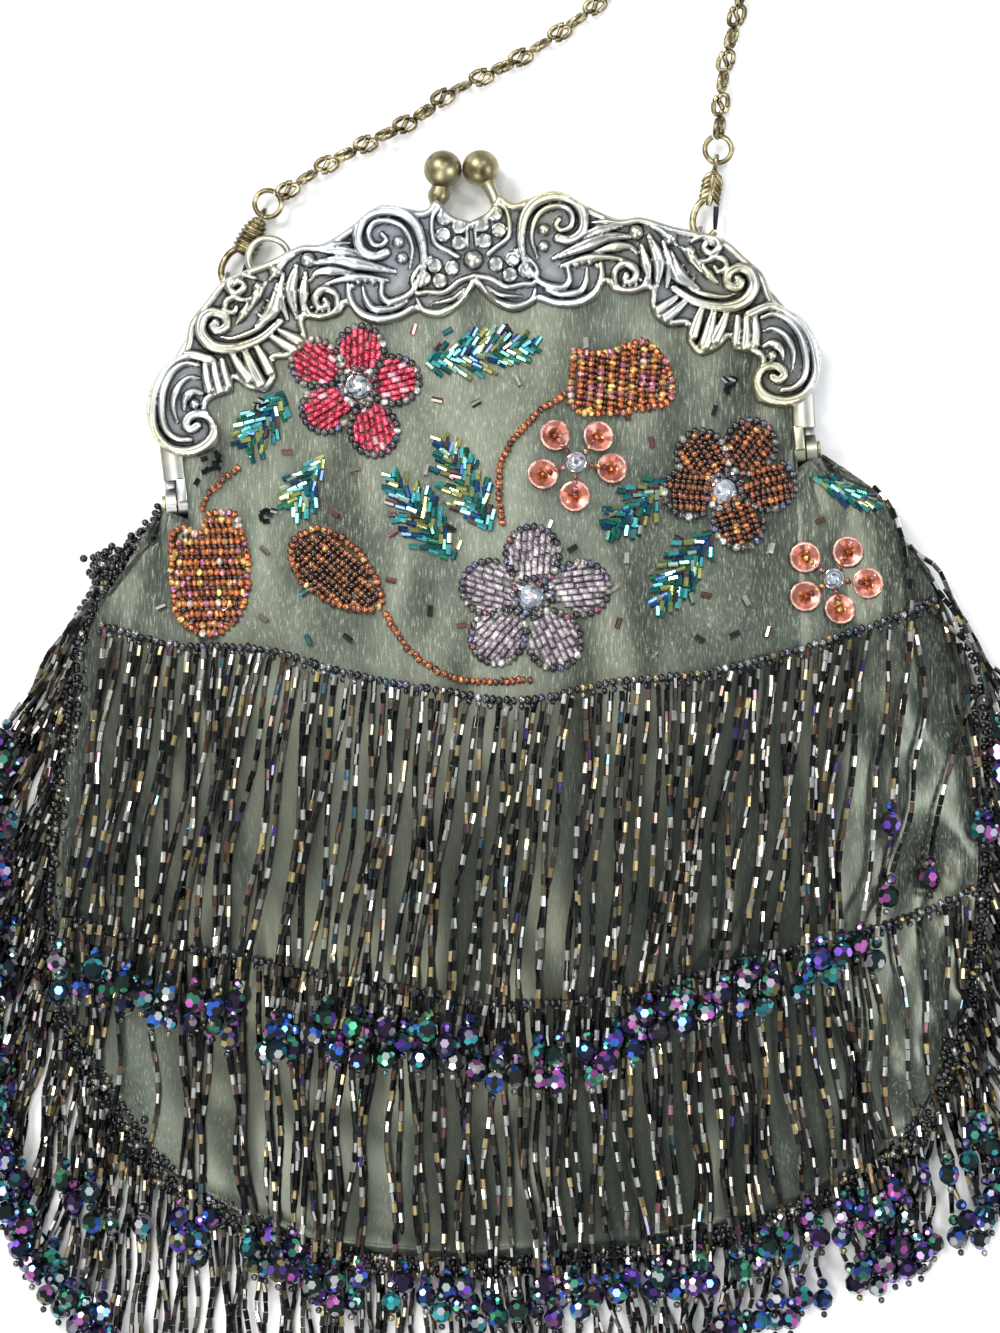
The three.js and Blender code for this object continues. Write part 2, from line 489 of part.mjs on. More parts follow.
function pad(shape, thick = PAD.thick) {
  const geometry = new THREE.ExtrudeGeometry(shape, { depth: thick, bevelEnabled: false });
  const spot = geometry.attributes.position;
  for (let i = 0; i < spot.count; i++)
    spot.setZ(i, spot.getZ(i) + front(spot.getX(i), spot.getY(i)) + PAD.lift);
  return geometry;
}

function stone(x, y, radius) {
  const seat = front(x, y) + PAD.lift;
  return new THREE.CylinderGeometry(radius * 0.6, radius, radius, 8).rotateX(Math.PI / 2).translate(x, y, seat + radius / 2);
}

const STONE = 2.8;
const FLOWERS = {
  red: { look: RED, middle: [-34.7, 98.7], petal: 5.4,
    petals: [[-44.4, 103.8], [-34.3, 106.6], [-26.7, 100], [-31.3, 88.7], [-42, 93.7]] },
  lilac: { look: LILAC, middle: [3.4, 52], petal: 6,
    petals: [[3.9, 61.2], [-5.6, 53.8], [-3.8, 43], [8.7, 42], [14.7, 53.6]] },
  brown: { look: BROWN, middle: [46.3, 75.2], petal: 5,
    petals: [[41.6, 83], [52.4, 85.4], [56.7, 76.7], [49.8, 68.4], [39.1, 75.1]] },
};
const FLOWER_POINTS = 40;

// The outline of round petals about a middle: the farthest petal edge in each direction.
function flowerShape({ middle, petals, petal }) {
  const shape = new THREE.Shape(Array.from({ length: FLOWER_POINTS }, (_, i) => {
    const turn = (i / FLOWER_POINTS) * 2 * Math.PI;
    const reach = petals.map(([x, y]) => {
      const [dx, dy] = [x - middle[0], y - middle[1]];
      const along = dx * Math.cos(turn) + dy * Math.sin(turn);
      const off = dx * Math.sin(turn) - dy * Math.cos(turn);
      return along > 0 && Math.abs(off) < petal ? along + Math.sqrt(petal * petal - off * off) : 0;
    });
    const radius = Math.max(6, ...reach);
    return new THREE.Vector2(middle[0] + radius * Math.cos(turn), middle[1] + radius * Math.sin(turn));
  }));
  shape.holes.push(new THREE.Path(polygon(STONE + 0.4, 12).getPoints().map((p) => p.add(new THREE.Vector2(...middle)))));
  return shape;
}
for (const [name, flower] of Object.entries(FLOWERS)) {
  add(name + "_flower", pad(flowerShape(flower)), flower.look);
  add(name + "_stone", stone(...flower.middle, STONE), CRYSTAL);
}

// Sequin flowers: five cupped sequins round a small stone.
const SEQUINS = {
  a: { middle: [13.6, 81.6], around: [[8.7, 87.6], [18.4, 87.3], [21.5, 80.2], [13.3, 74], [6.2, 78.8]] },
  b: { middle: [70.9, 55.8], around: [[64.6, 60.5], [74.2, 61.8], [78.4, 54.8], [72.2, 48.9], [64.6, 51.8]] },
};
const SEQUIN = { radius: 3.5, thick: 0.8 };
for (const [name, { middle, around }] of Object.entries(SEQUINS)) {
  add("stone_" + name, stone(...middle, 2.2), CRYSTAL);
  around.forEach(([x, y], i) => {
    const disc = new THREE.Shape(polygon(SEQUIN.radius, 14).getPoints().map((p) => p.add(new THREE.Vector2(x, y))));
    add("sequin_" + name + (i + 1), pad(disc, SEQUIN.thick), CORAL);
  });
}

// Tulips and bud: outlines round the beaded fill.
const OUTLINES = {
  left_tulip: { look: AMBER, rows: [[-76.2, 66.2], [-73.6, 67.1], [-70, 65.8], [-68.2, 69.6], [-64.1, 70.8],
    [-61.6, 68.9], [-59.3, 58.2], [-60.7, 48.9], [-63.8, 45], [-67.7, 43.6], [-72.2, 45], [-75.3, 48.9], [-76.4, 56.7]] },
  right_tulip: { look: AMBER, rows: [[13.1, 106.4], [20.2, 106], [27.8, 108.6], [30.7, 107.4], [34, 102.7], [35.1, 98.2],
    [33.1, 94.6], [22.4, 92.8], [17.6, 92.4], [13.4, 93.4], [12.4, 97.8]] },
  bud: { look: BROWN, rows: [[-48.9, 64.6], [-43.5, 67], [-35.5, 62.5], [-29.8, 53.5], [-30.8, 49.2], [-38.8, 50],
    [-46.5, 54.5], [-49.6, 60]] },
};
for (const [name, { look, rows }] of Object.entries(OUTLINES))
  add(name, pad(new THREE.Shape(rows.map(([x, y]) => new THREE.Vector2(x, y)))), look);

// Stems: single lines of seed beads.
const STEMS = {
  left_stem: [[-61.5, 80.5], [-65.9, 76.7], [-68.6, 74.2], [-69.6, 71.2]],
  right_stem: [[11.2, 96.7], [5.1, 92.8], [-0.2, 86.9], [-2.9, 82], [-3.6, 76.1], [-2.9, 68.2]],
  bud_stem: [[-28.6, 48], [-27.2, 45.6], [-24.2, 41], [-20, 37.2], [-14.7, 34.3], [-7.8, 33], [3.3, 33.4]],
};
for (const [name, rows] of Object.entries(STEMS)) {
  const flat = curveThrough(rows).getSpacedPoints(8);
  add(name, tube(curveThrough(flat.map((p) => [p.x, p.y, front(p.x, p.y) + ROW_RADIUS + LIFT])), ROW_RADIUS, 9, 5), AMBER);
}

// Leaves: bugles laid herringbone either side of a vein, from base to tip.
const LEAVES = [
  { base: [-20, 104], tip: [5.1, 107.8] }, { base: [-51.1, 97.3], tip: [-60.4, 84.4] },
  { base: [-42.2, 83.3], tip: [-50, 70.7] }, { base: [-14, 59.6], tip: [-27.8, 79.6] },
  { base: [-5.6, 66.1], tip: [-16.7, 87.6] }, { base: [34.3, 78], tip: [19.8, 65.6] },
  { base: [44, 66.1], tip: [30.4, 48.4] }, { base: [66.4, 78.6], tip: [79.3, 72.6] },
];
const LEAF_HALF = 4.2;
LEAVES.forEach(({ base, tip }, n) => {
  const [dx, dy] = [tip[0] - base[0], tip[1] - base[1]];
  const long = Math.hypot(dx, dy);
  const point = (t, side) => {
    const wide = side * Math.min(LEAF_HALF, long * 0.24) * Math.pow(Math.sin(Math.PI * t), 0.8);
    return new THREE.Vector2(base[0] + dx * t - (dy / long) * wide, base[1] + dy * t + (dx / long) * wide);
  };
  const shares = [0.04, 0.2, 0.36, 0.52, 0.68, 0.84, 0.98];
  const outline = [...shares.map((t) => point(t, -1)), ...shares.slice().reverse().map((t) => point(t, 1))];
  add("leaf_" + (n + 1), pad(new THREE.Shape(outline)), TEAL);
});

export default part;
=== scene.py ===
import math

import bmesh
import bpy
import numpy as np
from mathutils import Matrix, Vector, noise
from mathutils.bvhtree import BVHTree
from mathutils.kdtree import KDTree


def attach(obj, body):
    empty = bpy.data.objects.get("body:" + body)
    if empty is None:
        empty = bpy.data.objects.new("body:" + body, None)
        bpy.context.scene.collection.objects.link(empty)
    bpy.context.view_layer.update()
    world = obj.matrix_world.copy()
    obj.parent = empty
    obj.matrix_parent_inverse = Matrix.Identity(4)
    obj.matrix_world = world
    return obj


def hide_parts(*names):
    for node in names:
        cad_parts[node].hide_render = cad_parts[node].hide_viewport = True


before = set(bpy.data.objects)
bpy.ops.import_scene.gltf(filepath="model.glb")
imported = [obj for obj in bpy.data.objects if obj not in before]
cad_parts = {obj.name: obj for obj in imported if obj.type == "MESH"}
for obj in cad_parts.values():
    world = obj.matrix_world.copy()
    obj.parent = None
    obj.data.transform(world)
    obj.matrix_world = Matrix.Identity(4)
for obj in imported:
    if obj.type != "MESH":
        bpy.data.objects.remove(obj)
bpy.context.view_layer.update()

# Camera, lights and table
# The bag lies on a pale table and is seen from straight above through a long lens.
# Soft boxes stand round it under a dim ceiling, so that cut glass stays dark and glints.
MM = 0.001
UP = Vector((0, 0, 1))
PICTURE_TALL = 296.2 * MM
CAMERA_ABOVE = 1.1
MIDDLE_OF_PICTURE = Vector((-3.3 * MM, 36.3 * MM, 12 * MM))
ROOM_TINT, ROOM_GLOW = (0.9, 0.95, 1, 1), 0.3
TABLE_HALF, TABLE_DROP = 3, 0.3 * MM
lens = bpy.data.cameras.new("camera")
lens.sensor_fit = "VERTICAL"
lens.sensor_height = 24
lens.lens = lens.sensor_height * CAMERA_ABOVE / PICTURE_TALL
camera = bpy.data.objects.new("camera", lens)
camera.location = MIDDLE_OF_PICTURE + CAMERA_ABOVE * UP
bpy.context.scene.collection.objects.link(camera)
bpy.context.scene.camera = camera
bpy.context.scene.view_settings.view_transform = "Standard"


def soft_box(name, place, size, power, tint):
    """A square lamp turned towards the bag."""
    lamp = bpy.data.lights.new(name, "AREA")
    lamp.size, lamp.energy, lamp.color = size, power, tint
    held = bpy.data.objects.new(name, lamp)
    held.location = place
    held.rotation_euler = (MIDDLE_OF_PICTURE - Vector(place)).to_track_quat("-Z", "Y").to_euler()
    bpy.context.scene.collection.objects.link(held)


soft_box("key light", (-0.55, 0.65, 0.75), 0.34, 10.0, (1, 0.98, 0.94))
soft_box("fill light", (0.8, -0.1, 0.75), 0.42, 5.8, (0.95, 0.98, 1))
soft_box("low light", (-0.4, -0.7, 0.65), 0.4, 5.0, (1, 1, 1))
soft_box("ceiling panel", (-0.2, 0.4, 1.55), 0.5, 7.5, (1, 0.99, 0.97))
soft_box("spark light", (-0.25, -0.3, 1.0), 0.08, 1.6, (1, 0.97, 0.9))
soft_box("top spark", (0.3, 0.62, 0.9), 0.1, 1.6, (1, 1, 1))
world = bpy.data.worlds.new("room")
world.use_nodes = True
world.node_tree.nodes["Background"].inputs["Color"].default_value = ROOM_TINT
world.node_tree.nodes["Background"].inputs["Strength"].default_value = ROOM_GLOW
bpy.context.scene.world = world


def finish(name, **sockets):
    """A material whose shader has these values; the rest of it is wired on afterwards."""
    made = bpy.data.materials.new(name)
    made.use_nodes = True
    shader = made.node_tree.nodes["Principled BSDF"]
    for socket, value in sockets.items():
        shader.inputs[socket.replace("_", " ")].default_value = value
    return made, made.node_tree, shader


def add_node(tree, kind, inputs, **settings):
    """A node whose inputs are set to values or wired to other nodes."""
    made = tree.nodes.new("ShaderNode" + kind)
    for key, value in settings.items():
        setattr(made, key, value)
    for key, value in inputs.items():
        if isinstance(value, bpy.types.NodeSocket):
            tree.links.new(value, made.inputs[key])
        else:
            made.inputs[key].default_value = value
    return made


def ramp(tree, share, stops):
    """The colour at a share of the way along a band of (place, colour) stops."""
    made = add_node(tree, "ValToRGB", {"Fac": share})
    band = made.color_ramp.elements
    for stop, (place, tint) in zip(band, (stops[0], stops[-1])):
        stop.position, stop.color = place, (*tint, 1)
    for place, tint in stops[1:-1]:
        band.new(place).color = (*tint, 1)
    return made.outputs["Color"]


def grain(tree, scale, stretch=(1, 1, 1), detail=4.0):
    """Noise read from the object's own coordinates, stretched along its axes."""
    place = add_node(tree, "TexCoord", {}).outputs["Object"]
    moved = add_node(tree, "Mapping", {"Vector": place, "Scale": stretch}).outputs["Vector"]
    return add_node(tree, "TexNoise", {"Vector": moved, "Scale": scale, "Detail": detail}).outputs["Fac"]


table_finish, tree, shader = finish("pale table", Roughness=0.7)
tree.links.new(ramp(tree, grain(tree, 3.0), [(0.3, (0.86, 0.86, 0.86)), (0.7, (0.9, 0.9, 0.9))]),
               shader.inputs["Base Color"])
bm = bmesh.new()
bmesh.ops.create_grid(bm, x_segments=1, y_segments=1, size=TABLE_HALF)
bmesh.ops.translate(bm, verts=bm.verts, vec=(0, 0, -TABLE_DROP))
mesh = bpy.data.meshes.new("table")
bm.to_mesh(mesh)
bm.free()
mesh.materials.append(table_finish)
table = bpy.data.objects.new("table", mesh)
bpy.context.scene.collection.objects.link(table)

# Satin pouch
# Two panels of sage satin, sewn together along the side and bottom seam from hinge to hinge.
# Each panel's upper edge goes into its half of the frame, and the front bellies up where it lies. The satin
# looks darker, by painted shade in its "shade", where the strands of the front fringes lie close over it.
RIM = [
    (-79, 71.5), (-81.6, 65.8), (-89.1, 56.7), (-95.8, 46.7), (-98.9, 33.3), (-101.1, 20), (-104.2, -8.9),
    (-104.2, -24.4), (-102.2, -37.8), (-98.4, -48.9), (-85.6, -70), (-78.9, -77.3), (-68.2, -84.9),
    (-47.8, -93.3), (-25.6, -96.9), (-3.3, -97.3), (30.9, -93.8), (50, -89.3), (65.6, -84.4),
    (86.7, -71.5), (93.5, -63), (99.3, -47.1), (102.2, -37.8), (104.4, -24.4), (105.6, -8.9), (105.6, 20),
    (105.1, 31.1), (101.6, 42.2), (94, 57.8), (89.6, 63.3), (86.7, 70.7), (80.7, 76.2), (72.2, 80.9),
    (68, 84),
]
# Right half of the edge that the frame holds, and its top, in the frame's own directions.
HELD_EDGE = [(68, -4), (68.2, 6), (68.4, 11), (68.4, 16), (65.2, 28), (56.2, 38), (39.2, 45.2),
             (19.6, 49.2)]
HELD_TOP = (0, 50.2)
TILT = math.radians(4.8)
FRAME_PLACE = Matrix.Translation((-5.2, 78.7, 0)) @ Matrix.Rotation(TILT, 4, "Z")
FRONT_COLUMNS, SIDE_COLUMNS, ROWS = 76, 54, 90
COLUMNS = FRONT_COLUMNS + 2 * SIDE_COLUMNS
ROW_CROWDING, SMOOTHINGS = 1.6, 40
SEAM_STEPS, SPAN_STEPS = 1200, 12
SEAM_INSET, SEAM_HEIGHT, SEAM_ROUND, SEAM_LEAN = 1.4, 2.5, 3.0, 60
CLOTH_THICK, PANEL_GAP = 0.8, 2.0
# The cloth is free to fold past these shares of the seam's roundness and of its own length.
FREE_OF_SEAM, FREE_OF_FRAME = 0.6, 0.02
# Shares of the seam where the left side turns into the bottom, and the bottom into the right side.
LEFT_CORNER, RIGHT_CORNER = 0.362, 0.61
# Heights to look from: well clear of the bag, and near the middle of its front and back.
CLEAR_OF_BAG, NEAR_PANEL = 0.1, {1: 9, -1: 3}
# Soft folds: each one's height, its size across and along the bag, and where its noise is read.
FOLDS = [(1.6, 19, 55, 3), (0.6, 9, 22, 7), (0.16, 3.4, 11, 11)]
# Right of and below this place the front is slack and puffs up.
PUFF_X, PUFF_Y, PUFF_SOFT, PUFF_HEIGHT = 86, 52, 4, 6.5


def walk(line):
    """How far along a line each of its points is."""
    return np.concatenate([[0], np.cumsum(np.linalg.norm(np.diff(line, axis=0), axis=1))])


def smooth_line(points, count):
    """Evenly spaced points on a smooth curve through the given ones."""
    p = np.asarray(points, float)
    p = np.vstack([2 * p[0] - p[1], p, 2 * p[-1] - p[-2]])
    t = np.linspace(0, 1, SPAN_STEPS, endpoint=False)[:, None]
    runs = [0.5 * (2 * b + (c - a) * t + (2 * a - 5 * b + 4 * c - d) * t**2
                   + (3 * b - a - 3 * c + d) * t**3)
            for a, b, c, d in zip(p, p[1:], p[2:], p[3:])]
    line = np.vstack([*runs, p[-2:-1]])
    along = walk(line)
    at = np.linspace(0, along[-1], count)
    return np.stack([np.interp(at, along, column) for column in line.T], axis=1)


def moved_out(line, by):
    """A line in the plane shifted sideways, to its left as it runs."""
    along = np.gradient(line, axis=0)
    along /= np.linalg.norm(along, axis=1)[:, None]
    return line + by * np.stack([-along[:, 1], along[:, 0]], axis=1)


def in_bag(x, y):
    """Where a point in the frame's own directions is on the bag."""
    spot = FRAME_PLACE @ Vector((x, y, 0))
    return spot.x, spot.y


arch = smooth_line([in_bag(-x, y) for x, y in HELD_EDGE] + [in_bag(*HELD_TOP)]
                   + [in_bag(x, y) for x, y in HELD_EDGE[::-1]], FRONT_COLUMNS + 1)
# At each side the panel fans out from under the hinge to the side seam.
mouth = np.vstack([np.linspace(RIM[0], arch[0], SIDE_COLUMNS, endpoint=False), arch,
                   np.linspace(arch[-1], RIM[-1], SIDE_COLUMNS + 1)[1:]])
steps = np.concatenate([np.linspace(0, LEFT_CORNER, SIDE_COLUMNS, endpoint=False),
                        np.linspace(LEFT_CORNER, RIGHT_CORNER, FRONT_COLUMNS + 1),
                        np.linspace(RIGHT_CORNER, 1, SIDE_COLUMNS + 1)[1:]])
seam = moved_out(smooth_line(RIM[1:-1], SEAM_STEPS + 1), SEAM_INSET)
seam = seam[np.round(steps * SEAM_STEPS).astype(int)]
cad = bmesh.new()
cad.from_mesh(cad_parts["pouch"].data)
bmesh.ops.remove_doubles(cad, verts=cad.verts, dist=1e-6)
cad_skin = BVHTree.FromBMesh(cad)
cad.free()


def cad_height(x, y, side):
    """Height in millimetres of the pouch's front (side 1) or back (side -1)."""
    spot = cad_skin.ray_cast(Vector((x * MM, y * MM, side * CLEAR_OF_BAG)), -side * UP)[0]
    near = Vector((x, y, NEAR_PANEL[side])) * MM
    return (spot or cad_skin.find_nearest(near)[0]).z / MM


def from_side(spot, column):
    """How far a place is from the short edge between mouth and seam at a panel's left or right end."""
    end = 0 if column < COLUMNS / 2 else -1
    run = seam[end] - mouth[end]
    share = np.clip(np.dot(spot - mouth[end], run) / np.dot(run, run), 0, 1)
    return np.linalg.norm(spot - mouth[end] - share * run)


def creases(x, y):
    """Rise of the soft folds of laid satin: broad ones down the bag, finer ones on them, and the puff."""
    slack = 1 / (1 + math.exp((PUFF_X - x) / PUFF_SOFT)) / (1 + math.exp((y - PUFF_Y) / PUFF_SOFT))
    folds = sum(high * noise.noise((x / wide, y / long, seed)) for high, wide, long, seed in FOLDS)
    return folds + PUFF_HEIGHT * slack * noise.noise((x / 13 + y / 40, y / 17, 5))


bm = bmesh.new()
for side in (1, -1):
    panel = bmesh.ops.create_grid(bm, x_segments=COLUMNS, y_segments=ROWS, size=1)["verts"]
    inner = []
    for v in panel:
        column = round((v.co.x + 1) / 2 * COLUMNS)
        share = 1 - (1 - (v.co.y + 1) / 2) ** ROW_CROWDING
        spot = mouth[column] + (seam[column] - mouth[column]) * share
        from_seam = min(np.linalg.norm(seam[column] - spot), from_side(spot, column))
        over = spot + (mouth[column] - spot) * max(0, (SEAM_ROUND - from_seam) / SEAM_LEAN)
        round_off = math.sqrt(max(0, 1 - max(0, 1 - from_seam / SEAM_ROUND) ** 2))
        top = cad_height(*over, side)
        if side > 0:
            top = max(top, cad_height(*over, -1) + PANEL_GAP)
        height = SEAM_HEIGHT + (top - SEAM_HEIGHT) * round_off
        v.co = (*(spot * MM), height * MM)
        if from_seam > FREE_OF_SEAM * SEAM_ROUND and share > FREE_OF_FRAME:
            inner.append(v)
    for _ in range(SMOOTHINGS):
        bmesh.ops.smooth_vert(bm, verts=inner, factor=0.5, use_axis_z=True)
    if side > 0:
        for v in inner:
            v.co.z += creases(v.co.x / MM, v.co.y / MM) * MM
bmesh.ops.remove_doubles(bm, verts=bm.verts, dist=1e-5)
bmesh.ops.recalc_face_normals(bm, faces=bm.faces)
skin = BVHTree.FromBMesh(bm)


def seat(x, y):
    """Height and upward direction of the satin under a point in millimetres, or of the table."""
    spot, up, _, _ = skin.ray_cast(Vector((x * MM, y * MM, CLEAR_OF_BAG)), -UP)
    return (spot.z / MM, up) if spot else (0.0, UP)


def put_in(name, mesh, finishes, nodes, body="bag"):
    """A mesh as an object that rides its body and stands for its CAD nodes."""
    for each in finishes:
        mesh.materials.append(each)
    made = bpy.data.objects.new(name, mesh)
    bpy.context.scene.collection.objects.link(made)
    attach(made, body)
    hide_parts(*nodes)
    return made


def piece(name, bm, finishes, nodes, smooth=40, body="bag"):
    """A shape made in one go, rounded except over edges sharper than so many degrees."""
    mesh = bpy.data.meshes.new(name)
    bm.to_mesh(mesh)
    bm.free()
    mesh.shade_smooth()
    mesh.set_sharp_from_angle(angle=math.radians(smooth))
    return put_in(name, mesh, finishes, nodes, body)


def paint(red, green, blue):
    """A colour as seen on screen, 0 to 255 a channel, as the shader's own linear numbers."""
    return tuple(((c / 255 + 0.055) / 1.055) ** 2.4 if c > 10 else c / 3295 for c in (red, green, blue))


def roughened(tree, shader, share, low, high):
    """Lets a surface's roughness run between two values."""
    made = add_node(tree, "MapRange", {"Value": share, "To Min": low, "To Max": high})
    tree.links.new(made.outputs["Result"], shader.inputs["Roughness"])


def bumped(tree, shader, share, depth, strength):
    """Lets a surface rise and fall a little."""
    made = add_node(tree, "Bump", {"Height": share, "Distance": depth, "Strength": strength})
    tree.links.new(made.outputs["Normal"], shader.inputs["Normal"])


satin, tree, shader = finish("sage satin", Anisotropic=0.4, Sheen_Weight=0.07, Sheen_Roughness=0.35,
                             Sheen_Tint=(*paint(204, 210, 180), 1), Specular_IOR_Level=0.9,
                             Specular_Tint=(*paint(226, 232, 208), 1))
threads = grain(tree, 3000, (1, 0.12, 1), 2)
slubs = grain(tree, 5600, (1, 0.5, 1), 2)
drift = grain(tree, 52, (1, 0.4, 1), 5)
# The satin's colour drifts between darker and lighter in long soft bands down the bag.
drifting_tone = ramp(tree, drift, [(0.32, paint(20, 25, 25)), (0.5, paint(40, 47, 45)), (0.68, paint(76, 84, 77))])
woven = add_node(tree, "Mix", {0: 0.35, 2: threads, 3: slubs}).outputs[0]
# Painted sheen: pale flecks of the satin's shimmer on the raised threads of its weave.
raised = ramp(tree, woven, [(0.42, (0, 0, 0)), (0.56, (0.14, 0.14, 0.14)), (0.68, (0.9, 0.9, 0.9))])
sheen = (*paint(146, 154, 138), 1)
lit = add_node(tree, "Mix", {0: raised, 6: drifting_tone, 7: sheen}, data_type="RGBA").outputs[2]
# Painted shade: the "shade" attribute mixes the satin's colour towards a dark grey-green under the strands.
shade = add_node(tree, "Attribute", {}, attribute_name="shade").outputs["Fac"]
painted_shade_weight = add_node(tree, "MapRange", {"Value": shade, "To Max": 0.85}).outputs["Result"]
painted_shade_colour = (*paint(20, 24, 24), 1)
shaded = add_node(tree, "Mix", {0: painted_shade_weight, 6: lit, 7: painted_shade_colour}, data_type="RGBA").outputs[2]
tree.links.new(shaded, shader.inputs["Base Color"])
roughened(tree, shader, drift, 0.24, 0.36)
bumped(tree, shader, woven, 0.05 * MM, 0.35)
pouch = piece("satin_pouch", bm, [satin], ["pouch"], smooth=70)
thickness = pouch.modifiers.new("cloth", "SOLIDIFY")
thickness.thickness, thickness.offset = CLOTH_THICK * MM, -1

# Stamped frame
# Two arched channels of plated brass grip the satin; a plate stamped with scrolls, leaves and grapes is
# soldered to the front one. Each half ends in an ear at the hinge and carries one ball of the kiss lock.
ARCH = [(70.3, 5), (70.3, 16), (67, 29), (57.5, 39.5), (40, 47), (20, 51)]
ARCH_TOP, ARCH_STEPS = (0, 52), 61
ARCH_LINE = smooth_line([(-x, y) for x, y in ARCH] + [ARCH_TOP] + ARCH[::-1], ARCH_STEPS)
# Each channel's half width, its slot's depth, and its heights: bottom, slot's bottom and top, top.
BAR, SLOT_DEPTH, BAR_SOFT = 2.5, 1.4, 0.4
FRONT_BAR, BACK_BAR = (6.0, 8.2, 9.8, 10.8), (0.8, 2.0, 3.6, 5.6)
FRONT_EAR, BACK_EAR, EAR_LONG, EAR_SOFT = (67.8, 70.1), (70.5, 72.8), 5.6, 0.3
EAR_ROUND, PIN_HEIGHT = 3.4, 5.8
PLATE_LOW, PLATE_GROUND = 10.7, 11.9
PLATE_REACH, PLATE_DEEP, PLATE_HIGH, STAMP_STEP = 77.0, 8.4, 63.6, 0.28
OUTLINE_STEPS = 700
PLATE_HALF = [
    (0, 56.7), (4, 58.5), (7, 62), (10.5, 60), (19.5, 62), (27, 57.5), (33, 54.5), (38, 54.5), (45, 51.8),
    (50, 50.3), (56, 48), (60, 44), (64, 39.5), (66, 33.5), (72, 29), (75, 23), (75, 17.5), (72.5, 12.5),
    (67, 9.8), (60.5, 11.5), (59.5, 16), (61.6, 20.5), (59.8, 22.4), (55.9, 23.5), (55.2, 26), (52.7, 24),
    (48.4, 22.9), (45.7, 26.2), (45.9, 29.6), (42.2, 29.9), (39.1, 32.2), (38.2, 35), (38.4, 38.2),
    (34.7, 37.7), (30.6, 38.6), (28.8, 40.5), (26.6, 37.6), (22.5, 35.8), (17.6, 36.2), (13.6, 37.8),
    (12, 37), (7.9, 36), (3.4, 38.4), (0, 42.5),
]
